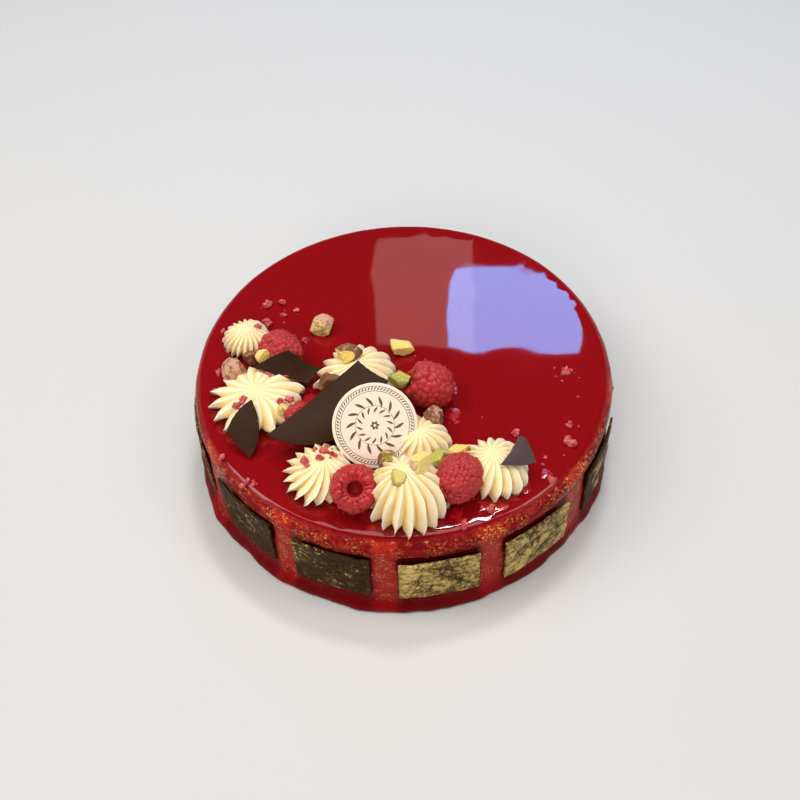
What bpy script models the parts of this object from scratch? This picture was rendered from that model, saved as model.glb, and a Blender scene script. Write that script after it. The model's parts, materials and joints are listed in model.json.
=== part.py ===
"""Round mirror-glazed celebration cake with piped cream rosettes, raspberries, pistachios and chocolate decoration.

Run with: blender --background --python part.py
Units are metres and +Z is up. The origin is the centre of the flat base, and the front of the cake is -Y.
"""

import math
import random

import bmesh
import bpy
from mathutils import Matrix, Vector, noise

# Cake body
CAKE_RADIUS = 0.092
CAKE_HEIGHT = 0.048
SHOULDER_RADIUS = 0.0046
FOOT_SPREAD = 0.0032
FOOT_HEIGHT = 0.0075
FOOT_WAVE = 0.0009
SIDE_WAVE = 0.0003
CAKE_STEPS = 72
SHOULDER_STEPS = 4

# The clearance between neighbouring pieces
GAP = 0.0003
PRESS_GAP = 0.00035
# The share by which the smooth dent under a raspberry is larger still
BERRY_PRESS = 1.7
HULL_SMOOTHING = math.radians(8)
# How far above the glaze a piece stands that rests on it
TOP = CAKE_HEIGHT + GAP

# Chocolate panels round the side: the direction in degrees and the bottom edge of the five at the front.
# The rest share what is left of the circle.
FRONT_PANELS = ((-138.5, 0.0115), (-111.2, 0.0110), (-82.9, 0.0090), (-55.3, 0.0085), (-25.5, 0.0090))
PANEL_COUNT = 12
PANEL_WIDTH = 0.0338
PANEL_HEIGHT = 0.0268
PANEL_THICKNESS = 0.0018
PANEL_BOTTOM = 0.0095
PANEL_BOTTOM_VARIATION = 0.0008
PANEL_STANDOFF = 0.0008
PANEL_LEAN = math.radians(1.5)
PANEL_COLUMNS = 4
PANEL_ROWS = 3
PANEL_RELIEF = 0.00025

# Piped rosettes: place on the cake, radius, height, number of ridges, turn of the ridges from base to peak,
# and how far the peak leans from the centre
ROSETTES = (
    ("cream_rosette_1", (-0.0698, 0.0180), 0.0106, 0.0115, 18, 0.30, (0.0004, 0.0000)),
    ("cream_rosette_2", (-0.0628, -0.0174), 0.0206, 0.0120, 17, 0.22, (-0.0005, -0.0015)),
    ("cream_rosette_3", (-0.0203, -0.0095), 0.0184, 0.0155, 17, 0.25, (0.0003, -0.0005)),
    ("cream_rosette_4", (-0.0370, -0.0585), 0.0144, 0.0140, 17, 0.55, (0.0028, 0.0000)),
    ("cream_rosette_5", (-0.0003, -0.0736), 0.0165, 0.0250, 17, 0.30, (-0.0018, 0.0008)),
    ("cream_rosette_6", (0.0049, -0.0440), 0.0134, 0.0130, 16, 0.35, (0.0002, -0.0015)),
    ("cream_rosette_7", (0.0346, -0.0603), 0.0145, 0.0140, 17, 0.40, (0.0000, 0.0006)),
)
ROSETTE_RING_ANGLES = (-16.0, 0.0, 22.0, 44.0, 63.0, 80.0)
ROSETTE_TAPER = 1.2
RIDGE_DEPTH_BASE = 0.27
RIDGE_DEPTH_PEAK = 0.16
RIDGE_PHASES = ((0.0, 1.0), (0.30, 0.30), (0.58, 0.0))
BASE_PINCH = 0.93

# Raspberries: place, diameter, length, the way the wide end faces, and the depth of its hollow as a share of the
# length, which is nothing where the wide end is hidden
RASPBERRIES = (
    ("raspberry_1", (-0.0522, 0.0037), 0.0178, 0.0165, (-0.60, 0.75, 0.10), 0.0),
    ("raspberry_2", (-0.0416, -0.0325), 0.0130, 0.0140, (-0.75, 0.55, 0.05), 0.0),
    ("raspberry_3", (-0.0214, -0.0700), 0.0190, 0.0165, (0.03, -0.60, 0.80), 0.62),
    ("raspberry_4", (0.0190, -0.0694), 0.0186, 0.0182, (0.45, 0.75, -0.30), 0.0),
    ("raspberry_5", (0.0122, -0.0193), 0.0188, 0.0176, (-0.85, 0.10, 0.45), 0.55),
)
BERRY_STEPS = 16
BERRY_ROWS = 4
DRUPELET_HEIGHT = 0.0011
BERRY_HOLLOW = 0.36
# The wall of the hollow, from its mouth to its floor, as shares of its radius and depth
HOLLOW_PROFILE = ((1.12, 0.0), (1.0, 0.25), (0.9, 0.7), (0.55, 1.0))

# Chocolate shards: the four corners, how far each edge bows outwards, and the bulge of the middle
SHARDS = (
    (
        "chocolate_shard_1",
        ((-0.0655, -0.0466, 0.0491), (-0.0617, -0.0383, 0.0545), (-0.0641, -0.0262, 0.0625), (-0.0747, -0.0366, 0.0555)),
        (0.0006, 0.0010, 0.0014, 0.0004),
        0.0010,
    ),
    (
        "chocolate_shard_2",
        ((-0.0642, -0.0063, 0.0602), (-0.0415, -0.0108, 0.0525), (-0.0353, -0.0030, 0.0530), (-0.0486, -0.0024, 0.0660)),
        (0.0000, -0.0004, -0.0010, 0.0006),
        0.0008,
    ),
    (
        "chocolate_shard_3",
        ((-0.0575, -0.0431, 0.0595), (-0.0200, -0.0400, 0.0590), (-0.0062, -0.0247, 0.0690), (-0.0186, -0.0136, 0.0695)),
        (0.0060, 0.0000, -0.0008, -0.0006),
        0.0022,
    ),
    (
        "chocolate_shard_4",
        ((0.0371, -0.0657, 0.0628), (0.0515, -0.0628, 0.0588), (0.0474, -0.0548, 0.0652), (0.0452, -0.0545, 0.0662)),
        (0.0008, 0.0004, 0.0000, -0.0006),
        0.0006,
    ),
)
SHARD_THICKNESS = 0.0014
SHARD_COLUMNS = 5
SHARD_ROWS = 3

# White chocolate medallion, leaning back on the large shard
MEDALLION_CENTRE = (-0.0126, -0.0426, 0.0622)
MEDALLION_FACING = (0.023, -0.609, 0.793)
MEDALLION_RADIUS = 0.0176
MEDALLION_THICKNESS = 0.0020
MEDALLION_EDGE = 0.0004
MEDALLION_STEPS = 40

# Pistachio pieces: centre, half sizes, turn about the vertical, tilt
PISTACHIOS = (
    ("pistachio_01", (-0.0357, 0.0246, 0.0), (0.0052, 0.0044, 0.0040), 20.0, 10.0),
    ("pistachio_02", (0.0005, 0.0098, 0.0), (0.0056, 0.0038, 0.0033), -20.0, 0.0),
    ("pistachio_03", (-0.0229, -0.0043, 0.0640), (0.0064, 0.0045, 0.0032), 28.0, -20.0),
    ("pistachio_04", (-0.0316, -0.0166, 0.0604), (0.0048, 0.0040, 0.0038), 35.0, 12.0),
    ("pistachio_05", (-0.0020, -0.0172, 0.0612), (0.0052, 0.0032, 0.0030), 18.0, 8.0),
    ("pistachio_06", (0.0117, -0.0343, 0.0560), (0.0038, 0.0050, 0.0038), 30.0, -20.0),
    ("pistachio_07", (-0.0742, -0.0034, 0.0558), (0.0048, 0.0056, 0.0046), -15.0, 20.0),
    ("pistachio_08", (-0.0669, 0.0056, 0.0530), (0.0032, 0.0032, 0.0040), 0.0, 0.0),
    ("pistachio_09", (-0.0604, -0.0016, 0.0624), (0.0027, 0.0024, 0.0034), 20.0, 0.0),
    ("pistachio_10", (-0.0083, -0.0590, 0.0590), (0.0036, 0.0038, 0.0044), 10.0, 10.0),
    ("pistachio_11", (-0.0104, -0.0696, 0.0650), (0.0037, 0.0033, 0.0028), 25.0, -20.0),
    ("pistachio_12", (-0.0037, -0.0756, 0.0715), (0.0026, 0.0040, 0.0028), -10.0, 40.0),
    ("pistachio_13", (0.0048, -0.0700, 0.0710), (0.0042, 0.0058, 0.0030), -20.0, 35.0),
    ("pistachio_14", (0.0133, -0.0568, 0.0558), (0.0052, 0.0038, 0.0036), 32.0, 15.0),
    ("pistachio_15", (0.0216, -0.0506, 0.0), (0.0040, 0.0036, 0.0040), 38.0, 10.0),
    ("pistachio_16", (-0.0514, -0.0280, 0.0574), (0.0027, 0.0022, 0.0020), 15.0, 0.0),
)
PISTACHIO_POINTS = 17

# Freeze-dried raspberry crumbs on the glaze: place and size across
GLAZE_CRUMBS = (
    ((-0.0612, 0.0416), 0.0048),
    ((-0.0544, 0.0426), 0.0042),
    ((-0.0477, 0.0379), 0.0030),
    ((-0.0540, 0.0346), 0.0034),
    ((-0.0433, 0.0180), 0.0038),
    ((-0.0815, 0.0267), 0.0026),
    ((-0.0608, 0.0290), 0.0060),
    ((-0.0822, 0.0012), 0.0048),
    ((-0.0826, -0.0091), 0.0040),
    ((-0.0768, -0.0452), 0.0034),
    ((-0.0683, -0.0593), 0.0030),
    ((-0.0660, -0.0578), 0.0034),
    ((-0.0637, -0.0589), 0.0026),
    ((0.0470, -0.0397), 0.0052),
    ((0.0723, -0.0072), 0.0050),
    ((0.0699, -0.0365), 0.0038),
    ((0.0687, -0.0461), 0.0056),
    ((0.0578, -0.0650), 0.0036),
    ((0.0328, -0.0775), 0.0044),
    ((0.0222, -0.0838), 0.0040),
)
# Crumbs on the cream: the rosette, the offset from its centre, and the size across
CREAM_CRUMBS = (
    ("cream_rosette_1", (0.0063, 0.0022), 0.0036),
    ("cream_rosette_2", (-0.0072, -0.0077), 0.0060),
    ("cream_rosette_2", (0.0108, -0.0070), 0.0042),
    ("cream_rosette_2", (0.0141, -0.0053), 0.0042),
    ("cream_rosette_2", (0.0046, 0.0080), 0.0030),
    ("cream_rosette_2", (0.0121, 0.0088), 0.0030),
    ("cream_rosette_4", (-0.0004, 0.0060), 0.0032),
    ("cream_rosette_4", (0.0030, 0.0042), 0.0046),
    ("cream_rosette_4", (0.0049, 0.0095), 0.0032),
    ("cream_rosette_4", (0.0019, 0.0008), 0.0040),
    ("cream_rosette_4", (0.0072, 0.0032), 0.0036),
    ("cream_rosette_4", (-0.0040, -0.0003), 0.0048),
)
CRUMB_POINTS = 14
CRUMB_SINK = 0.25

COLOURS = {
    "red_mirror_glaze": ((0.38, 0.006, 0.010), 0.05, 0.0),
    "whipped_cream": ((0.86, 0.74, 0.48), 0.50, 0.0),
    "raspberry": ((0.50, 0.02, 0.04), 0.40, 0.0),
    "dark_chocolate": ((0.050, 0.024, 0.014), 0.35, 0.0),
    "gold_dusted_chocolate": ((0.20, 0.13, 0.04), 0.35, 0.5),
    "white_chocolate": ((0.86, 0.74, 0.58), 0.45, 0.0),
    "pistachio": ((0.45, 0.40, 0.10), 0.60, 0.0),
}


def clear_scene():
    for obj in list(bpy.data.objects):
        bpy.data.objects.remove(obj)


def material(name):
    found = bpy.data.materials.get(name)
    if found:
        return found
    colour, roughness, metallic = COLOURS[name]
    made = bpy.data.materials.new(name)
    made.use_nodes = True
    shader = made.node_tree.nodes["Principled BSDF"]
    shader.inputs["Base Color"].default_value = (*colour, 1.0)
    shader.inputs["Roughness"].default_value = roughness
    shader.inputs["Metallic"].default_value = metallic
    return made


def add_object(name, bm, finish, smooth=True):
    """A new object in the scene from a bmesh, in triangles that point out."""
    bmesh.ops.triangulate(bm, faces=bm.faces)
    bmesh.ops.recalc_face_normals(bm, faces=bm.faces)
    mesh = bpy.data.meshes.new(name)
    bm.to_mesh(mesh)
    bm.free()
    mesh.materials.append(material(finish))
    obj = bpy.data.objects.new(name, mesh)
    bpy.context.scene.collection.objects.link(obj)
    if smooth:
        mesh.shade_smooth()
        mesh.set_sharp_from_angle(angle=math.radians(40))
    return obj


def skin_rings(bm, rings, closed_ends=True):
    """Joins rings of equally many vertices into a tube, and closes its two ends with flat faces."""
    for lower, upper in zip(rings, rings[1:]):
        count = len(lower)
        for i in range(count):
            j = (i + 1) % count
            bm.faces.new((lower[i], lower[j], upper[j], upper[i]))
    if closed_ends:
        bm.faces.new(list(reversed(rings[0])))
        bm.faces.new(rings[-1])


def combine(target, others, operation):
    """One Boolean between the target and all the others, applied. The others are then removed."""
    if not others:
        return
    group = bpy.data.collections.new(target.name + "_operands")
    bpy.context.scene.collection.children.link(group)
    for other in others:
        bpy.context.scene.collection.objects.unlink(other)
        group.objects.link(other)
    modifier = target.modifiers.new("combine", "BOOLEAN")
    modifier.operation = operation
    modifier.operand_type = "COLLECTION"
    modifier.collection = group
    modifier.solver = "EXACT"
    graph = bpy.context.evaluated_depsgraph_get()
    made = bpy.data.meshes.new_from_object(target.evaluated_get(graph))
    target.modifiers.remove(modifier)
    target.data = made
    for other in others:
        bpy.data.objects.remove(other)
    bpy.data.collections.remove(group)
    keep_main_body(target)


def keep_main_body(obj):
    """Drops loose scraps that a Boolean leaves beside the main body."""
    bm = bmesh.new()
    bm.from_mesh(obj.data)
    bmesh.ops.triangulate(bm, faces=bm.faces)
    left = set(bm.verts)
    bodies = []
    while left:
        body = set()
        front = [left.pop()]
        while front:
            vertex = front.pop()
            body.add(vertex)
            for edge in vertex.link_edges:
                other = edge.other_vert(vertex)
                if other in left:
                    left.remove(other)
                    front.append(other)
        bodies.append(body)
    main = max(bodies, key=len)
    bmesh.ops.delete(bm, geom=[v for v in bm.verts if v not in main], context="VERTS")
    bm.to_mesh(obj.data)
    bm.free()


def turn_towards(direction):
    """The rotation that takes +Z to the direction."""
    return Vector((0, 0, 1)).rotation_difference(Vector(direction).normalized()).to_matrix().to_4x4()


def pebble(bm, centre, half_sizes, points, rng):
    """A faceted irregular chunk: the hull of random points on an ellipsoid."""
    made = []
    for i in range(points):
        height = 1 - 2 * (i + 0.5) / points
        turn = i * math.pi * (3 - math.sqrt(5)) + rng.uniform(-0.3, 0.3)
        level = math.sqrt(1 - height * height)
        reach = rng.uniform(0.82, 1.08)
        place = Vector((math.cos(turn) * level, math.sin(turn) * level, height)) * reach
        made.append(bm.verts.new([c + p * h for c, p, h in zip(centre, place, half_sizes)]))
    bmesh.ops.convex_hull(bm, input=made)


def make_cake():
    """The glazed body: a turned profile with a rounded shoulder and a foot where the glaze ran down."""
    shoulder = []
    for i in range(SHOULDER_STEPS + 1):
        angle = math.radians(90) * i / SHOULDER_STEPS
        shoulder.append(
            (
                CAKE_RADIUS - SHOULDER_RADIUS * (1 - math.cos(angle)),
                CAKE_HEIGHT - SHOULDER_RADIUS * (1 - math.sin(angle)),
                0.0,
            )
        )
    foot = [
        (CAKE_RADIUS + FOOT_SPREAD * 0.75, 0.0, 1.0),
        (CAKE_RADIUS + FOOT_SPREAD, FOOT_HEIGHT * 0.16, 1.0),
        (CAKE_RADIUS + FOOT_SPREAD * 0.92, FOOT_HEIGHT * 0.36, 1.0),
        (CAKE_RADIUS + FOOT_SPREAD * 0.40, FOOT_HEIGHT * 0.66, 0.6),
        (CAKE_RADIUS + FOOT_SPREAD * 0.08, FOOT_HEIGHT, 0.2),
    ]
    side = [(CAKE_RADIUS, height * CAKE_HEIGHT, 0.3) for height in (0.35, 0.70)]
    bm = bmesh.new()
    rings = []
    for radius, height, wave in foot + side + shoulder:
        ring = []
        for i in range(CAKE_STEPS):
            angle = 2 * math.pi * i / CAKE_STEPS
            around = Vector((math.cos(angle), math.sin(angle), 0))
            depth = FOOT_WAVE if height < FOOT_HEIGHT else SIDE_WAVE
            ripple = noise.noise(around * 4.0 + Vector((0, 0, height * 60))) * depth * wave
            ring.append(bm.verts.new(around * (radius + ripple) + Vector((0, 0, height))))
        rings.append(ring)
    skin_rings(bm, rings)
    cake = add_object("glazed_cake", bm, "red_mirror_glaze")
    crumbs = []
    for number, ((x, y), size) in enumerate(GLAZE_CRUMBS):
        crumbs.append(make_crumb(number, (x, y, CAKE_HEIGHT), size))
    combine(cake, crumbs, "UNION")


def make_crumb(number, foot, size):
    """A crumb of freeze-dried raspberry, sunk a little into what it lies on."""
    rng = random.Random(100 + number)
    half = size / 2
    low = half * rng.uniform(0.65, 0.85)
    bm = bmesh.new()
    centre = (foot[0], foot[1], foot[2] + low * (1 - 2 * CRUMB_SINK))
    pebble(bm, centre, (half, half * rng.uniform(0.65, 0.9), low), CRUMB_POINTS, rng)
    return add_object(f"crumb_{number}", bm, "raspberry", smooth=False)


def panel_places():
    """The direction from the centre and the bottom edge of each panel, the front ones first."""
    rng = random.Random(7)
    first, last = FRONT_PANELS[0][0] + 360, FRONT_PANELS[-1][0]
    others = PANEL_COUNT - len(FRONT_PANELS)
    spacing = (first - last) / (others + 1)
    places = list(FRONT_PANELS)
    for i in range(others):
        bottom = PANEL_BOTTOM + rng.uniform(-PANEL_BOTTOM_VARIATION, PANEL_BOTTOM_VARIATION)
        places.append((last + spacing * (i + 1), bottom))
    return places


def make_panel(number, degrees, bottom):
    """A thin chocolate rectangle with a crumpled face and hand-cut corners, leaning out from the side."""
    rng = random.Random(number)
    cut = [[rng.uniform(-0.0005, 0.0005) for _ in range(2)] for _ in range(4)]
    roll = math.radians(rng.uniform(-1.5, 1.5))
    bm = bmesh.new()
    faces = []
    for side in (0, 1):
        grid = []
        for row in range(PANEL_ROWS + 1):
            line = []
            for column in range(PANEL_COLUMNS + 1):
                u, v = column / PANEL_COLUMNS, row / PANEL_ROWS
                weights = ((1 - u) * (1 - v), u * (1 - v), u * v, (1 - u) * v)
                across = (u - 0.5) * PANEL_WIDTH + sum(w * c[0] for w, c in zip(weights, cut))
                up = v * PANEL_HEIGHT + sum(w * c[1] for w, c in zip(weights, cut))
                crumple = noise.noise(Vector((u * 3.1, v * 2.7, number * 5.0))) * PANEL_RELIEF * side
                line.append(bm.verts.new((across, -PANEL_THICKNESS * side - crumple, up)))
            grid.append(line)
        faces.append(grid)
    back, front = faces
    for grid in (back, front):
        for row in range(PANEL_ROWS):
            for column in range(PANEL_COLUMNS):
                bm.faces.new(
                    (grid[row][column], grid[row][column + 1], grid[row + 1][column + 1], grid[row + 1][column])
                )

    def rim(grid):
        """The outer vertices of a grid, in order round it."""
        bottom, top = grid[0], grid[-1]
        right = [line[-1] for line in grid[1:-1]]
        left = [line[0] for line in grid[1:-1]]
        return bottom + right + top[::-1] + left[::-1]

    outer, inner = rim(front), rim(back)
    for i in range(len(outer)):
        j = (i + 1) % len(outer)
        bm.faces.new((outer[i], outer[j], inner[j], inner[i]))
    panel = add_object(f"chocolate_panel_{number:02d}", bm, "gold_dusted_chocolate")
    lean = Matrix.Rotation(PANEL_LEAN, 4, "X") @ Matrix.Rotation(roll, 4, "Y")
    out = Matrix.Translation((0, -(CAKE_RADIUS + PANEL_STANDOFF), bottom))
    panel.matrix_world = Matrix.Rotation(math.radians(degrees + 90), 4, "Z") @ out @ lean


def rosette_profile(degrees):
    """Shares of radius and height at an angle up the side, from below the widest ring to the peak."""
    start = math.sin(math.radians(ROSETTE_RING_ANGLES[0]))
    rise = (math.sin(math.radians(degrees)) - start) / (1 - start)
    reach = math.cos(math.radians(degrees)) ** ROSETTE_TAPER
    if degrees < 0:
        reach *= BASE_PINCH
    return reach, rise


def rosette_height(radius, height, distance):
    """Height of the cream over the glaze at a distance from the rosette's centre."""
    share = min(distance / radius, 1.0)
    angle = math.degrees(math.acos(share ** (1 / ROSETTE_TAPER)))
    return rosette_profile(angle)[1] * height


def make_rosette(name, place, radius, height, ridges, turn, lean):
    """A star-piped rosette: rings of skewed ridges that turn and shallow towards a leaning peak."""
    bm = bmesh.new()
    rings = []
    for degrees in ROSETTE_RING_ANGLES:
        reach, rise = rosette_profile(degrees)
        depth = RIDGE_DEPTH_BASE + (RIDGE_DEPTH_PEAK - RIDGE_DEPTH_BASE) * rise
        ring = []
        for ridge in range(ridges):
            for phase, valley in RIDGE_PHASES:
                angle = 2 * math.pi * (ridge + phase) / ridges + turn * rise
                out = radius * reach * (1 - depth * valley)
                ring.append(
                    bm.verts.new(
                        (
                            place[0] + math.cos(angle) * out + lean[0] * rise**2,
                            place[1] + math.sin(angle) * out + lean[1] * rise**2,
                            TOP + rise * height,
                        )
                    )
                )
        rings.append(ring)
    skin_rings(bm, rings, closed_ends=False)
    bm.faces.new(list(reversed(rings[0])))
    peak = bm.verts.new((place[0] + lean[0], place[1] + lean[1], TOP + height * 1.04))
    top = rings[-1]
    for i in range(len(top)):
        bm.faces.new((top[i], top[(i + 1) % len(top)], peak))
    return add_object(name, bm, "whipped_cream")


def berry_profile(diameter, length):
    """The outer line of a raspberry from the rim of its hollow end to its tip, as (radius, height) pairs."""
    line = []
    for i in range(2 * BERRY_ROWS + 1):
        share = i / (2 * BERRY_ROWS)
        angle = math.radians(-48 + 132 * share)
        line.append((diameter / 2 * math.cos(angle) ** 0.8, length * (0.36 + 0.62 * math.sin(angle))))
    return line


def make_raspberry(name, place, diameter, length, facing, hollow_depth):
    """A thimble of drupelets. Its local -Z end is the wide one, with the hollow."""
    bm = bmesh.new()
    outer = []
    for level, (radius, height) in enumerate(berry_profile(diameter, length)):
        ring = []
        for i in range(BERRY_STEPS):
            angle = 2 * math.pi * i / BERRY_STEPS
            row = level // 2
            raised = level % 2 == 1 and (i + row) % 2 == 0
            out = radius - (0.0 if raised else DRUPELET_HEIGHT) * min(1.0, radius / diameter * 4)
            ring.append(bm.verts.new((math.cos(angle) * out, math.sin(angle) * out, height)))
        outer.append(ring)
    rim_height = berry_profile(diameter, length)[0][1]
    inner = []
    for radius_share, depth_share in HOLLOW_PROFILE if hollow_depth else ():
        radius = diameter / 2 * BERRY_HOLLOW * radius_share
        height = rim_height + depth_share * hollow_depth * length
        inner.append(
            [
                bm.verts.new((math.cos(a) * radius, math.sin(a) * radius, height))
                for a in (2 * math.pi * i / BERRY_STEPS for i in range(BERRY_STEPS))
            ]
        )
    skin_rings(bm, inner[::-1] + outer)
    turn = turn_towards(-Vector(facing))
    centre = Matrix.Translation((0, 0, -length * 0.45))
    bmesh.ops.transform(bm, matrix=turn @ centre, verts=bm.verts)
    lowest = min(v.co.z for v in bm.verts)
    bmesh.ops.translate(bm, verts=bm.verts, vec=(place[0], place[1], TOP - lowest))
    return add_object(name, bm, "raspberry")


def smooth_hull(bm, points):
    """Adds the convex hull of points, with its flattest edges dissolved."""
    made = [bm.verts.new(point) for point in points]
    bmesh.ops.convex_hull(bm, input=made)
    inside = [vertex for vertex in bm.verts if not vertex.link_faces]
    bmesh.ops.delete(bm, geom=inside, context="VERTS")
    bmesh.ops.dissolve_limit(bm, angle_limit=HULL_SMOOTHING, verts=bm.verts, edges=bm.edges)
    bmesh.ops.triangulate(bm, faces=bm.faces)
    bmesh.ops.recalc_face_normals(bm, faces=bm.faces)


def enlarged(piece, distance):
    """A copy of a piece grown all round by a distance, which presses a dent into the cream. A raspberry's is smooth."""
    bm = bmesh.new()
    if piece.name.startswith("raspberry"):
        distance *= BERRY_PRESS
        smooth_hull(bm, [vertex.co for vertex in piece.data.vertices])
    else:
        bm.from_mesh(piece.data)
    bm.normal_update()
    moves = [(v, v.normal * v.calc_shell_factor() * distance) for v in bm.verts]
    for vertex, move in moves:
        vertex.co += move
    return add_object("press", bm, "whipped_cream")


def shard_grid(corners, bows, bulge):
    """Points of a four-cornered sheet with bowed edges and a bulged middle, and the way that the sheet faces."""
    a, b, c, d = (Vector(corner) for corner in corners)
    middle = (a + b + c + d) / 4
    normal = ((c - a).cross(d - b)).normalized()
    edges = ((a, b, bows[0]), (b, c, bows[1]), (d, c, bows[2]), (a, d, bows[3]))

    def edge_point(edge, share):
        start, end, bow = edge
        straight = start.lerp(end, share)
        along = (end - start).normalized()
        out = normal.cross(along)
        if out.dot((start + end) / 2 - middle) < 0:
            out = -out
        return straight + out * bow * 4 * share * (1 - share)

    grid = []
    for row in range(SHARD_ROWS + 1):
        v = row / SHARD_ROWS
        line = []
        for column in range(SHARD_COLUMNS + 1):
            u = column / SHARD_COLUMNS
            across = edge_point(edges[0], u).lerp(edge_point(edges[2], u), v)
            along = edge_point(edges[3], v).lerp(edge_point(edges[1], v), u)
            corner = a.lerp(b, u).lerp(d.lerp(c, u), v)
            raised = bulge * 16 * u * (1 - u) * v * (1 - v)
            line.append(across + along - corner + normal * raised)
        grid.append(line)
    return grid, normal


def make_shard(name, corners, bows, bulge):
    """A thin bent sheet of dark chocolate between its corners."""
    grid, normal = shard_grid(corners, bows, bulge)
    half = normal * (SHARD_THICKNESS / 2)
    bm = bmesh.new()
    upper = [[bm.verts.new(p + half) for p in line] for line in grid]
    lower = [[bm.verts.new(p - half) for p in line] for line in grid]
    for row in range(SHARD_ROWS):
        for column in range(SHARD_COLUMNS):
            for sheet in (upper, lower):
                bm.faces.new(
                    (sheet[row][column], sheet[row][column + 1], sheet[row + 1][column + 1], sheet[row + 1][column])
                )

    def rim(sheet):
        right = [line[-1] for line in sheet[1:-1]]
        left = [line[0] for line in sheet[1:-1]]
        return sheet[0] + right + sheet[-1][::-1] + left[::-1]

    top, bottom = rim(upper), rim(lower)
    for i in range(len(top)):
        j = (i + 1) % len(top)
        bm.faces.new((top[i], top[j], bottom[j], bottom[i]))
    return add_object(name, bm, "dark_chocolate")


def make_medallion():
    """A flat round of white chocolate with a softened edge, facing up and forwards."""
    bm = bmesh.new()
    half = MEDALLION_THICKNESS / 2
    radius = MEDALLION_RADIUS
    rings = []
    for out, height in (
        (radius - MEDALLION_EDGE, -half),
        (radius, -half + MEDALLION_EDGE),
        (radius, half - MEDALLION_EDGE),
        (radius - MEDALLION_EDGE, half),
    ):
        rings.append(
            [
                bm.verts.new((math.cos(a) * out, math.sin(a) * out, height))
                for a in (2 * math.pi * i / MEDALLION_STEPS for i in range(MEDALLION_STEPS))
            ]
        )
    skin_rings(bm, rings)
    placed = Matrix.Translation(MEDALLION_CENTRE) @ turn_towards(MEDALLION_FACING)
    bmesh.ops.transform(bm, matrix=placed, verts=bm.verts)
    return add_object("chocolate_medallion", bm, "white_chocolate")


def make_pistachio(number, name, centre, half_sizes, turn, tilt):
    """A chopped pistachio kernel. A height of zero lays it on the glaze."""
    rng = random.Random(40 + number)
    bm = bmesh.new()
    pebble(bm, (0, 0, 0), half_sizes, PISTACHIO_POINTS, rng)
    placed = Matrix.Rotation(math.radians(turn), 4, "Z") @ Matrix.Rotation(math.radians(tilt), 4, "X")
    bmesh.ops.transform(bm, matrix=placed, verts=bm.verts)
    lowest = min(v.co.z for v in bm.verts)
    height = centre[2] or TOP - lowest
    bmesh.ops.translate(bm, verts=bm.verts, vec=(centre[0], centre[1], height))
    return add_object(name, bm, "pistachio", smooth=False)


def near(one, other):
    """Whether the boxes of two objects that lie at the origin overlap."""
    for axis in range(3):
        spans = [[corner[axis] for corner in obj.bound_box] for obj in (one, other)]
        if max(spans[0]) + PRESS_GAP < min(spans[1]) or max(spans[1]) + PRESS_GAP < min(spans[0]):
            return False
    return True


def make_toppings():
    """All that lies on the glaze. The cream is dented by the pieces that are pressed into it."""
    pieces = [make_raspberry(*spec) for spec in RASPBERRIES]
    pieces += [make_shard(*spec) for spec in SHARDS]
    pieces.append(make_medallion())
    pieces += [make_pistachio(number, *spec) for number, spec in enumerate(PISTACHIOS)]
    for spec in ROSETTES:
        name, place, radius, height = spec[:4]
        rosette = make_rosette(*spec)
        crumbs = []
        for number, (owner, offset, size) in enumerate(CREAM_CRUMBS):
            if owner == name:
                level = TOP + rosette_height(radius, height, math.hypot(*offset))
                foot = (place[0] + offset[0], place[1] + offset[1], level)
                crumbs.append(make_crumb(50 + number, foot, size))
        combine(rosette, crumbs, "UNION")
        presses = [enlarged(piece, PRESS_GAP) for piece in pieces if near(piece, rosette)]
        combine(rosette, presses, "DIFFERENCE")


clear_scene()
make_cake()
for index, (direction, bottom_edge) in enumerate(panel_places()):
    make_panel(index + 1, direction, bottom_edge)
make_toppings()
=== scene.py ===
import contextlib
import json
import math
import random

import bpy
import numpy as np
from bpy.props import FloatProperty, FloatVectorProperty, IntProperty, PointerProperty
from mathutils import Matrix, Vector, noise
from mathutils.bvhtree import BVHTree

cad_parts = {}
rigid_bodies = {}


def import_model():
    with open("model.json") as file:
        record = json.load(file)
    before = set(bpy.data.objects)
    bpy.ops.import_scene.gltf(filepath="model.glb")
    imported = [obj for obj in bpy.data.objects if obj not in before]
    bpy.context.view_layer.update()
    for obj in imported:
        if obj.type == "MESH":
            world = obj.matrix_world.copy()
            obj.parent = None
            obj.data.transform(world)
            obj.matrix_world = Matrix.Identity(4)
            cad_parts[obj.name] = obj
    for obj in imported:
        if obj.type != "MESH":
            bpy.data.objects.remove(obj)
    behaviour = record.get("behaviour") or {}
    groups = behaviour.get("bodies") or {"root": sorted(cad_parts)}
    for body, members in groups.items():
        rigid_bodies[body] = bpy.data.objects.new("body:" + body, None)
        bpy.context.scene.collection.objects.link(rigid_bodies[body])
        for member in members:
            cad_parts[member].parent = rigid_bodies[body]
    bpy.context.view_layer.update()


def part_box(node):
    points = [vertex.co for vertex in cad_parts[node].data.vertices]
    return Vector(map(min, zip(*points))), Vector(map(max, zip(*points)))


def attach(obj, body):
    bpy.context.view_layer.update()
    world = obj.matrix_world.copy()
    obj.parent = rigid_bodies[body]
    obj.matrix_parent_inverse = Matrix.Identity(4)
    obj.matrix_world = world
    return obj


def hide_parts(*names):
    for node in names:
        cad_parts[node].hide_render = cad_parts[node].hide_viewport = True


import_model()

bl_info = {
    "name": "Mirror-Glazed Cake",
    "version": (1, 0, 0),
    "blender": (4, 5, 0),
    "location": "3D View > Sidebar > Cake",
    "description": "Dresses a round mirror-glazed cake with cream, berries, nuts and chocolate",
    "category": "Object",
}

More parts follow.
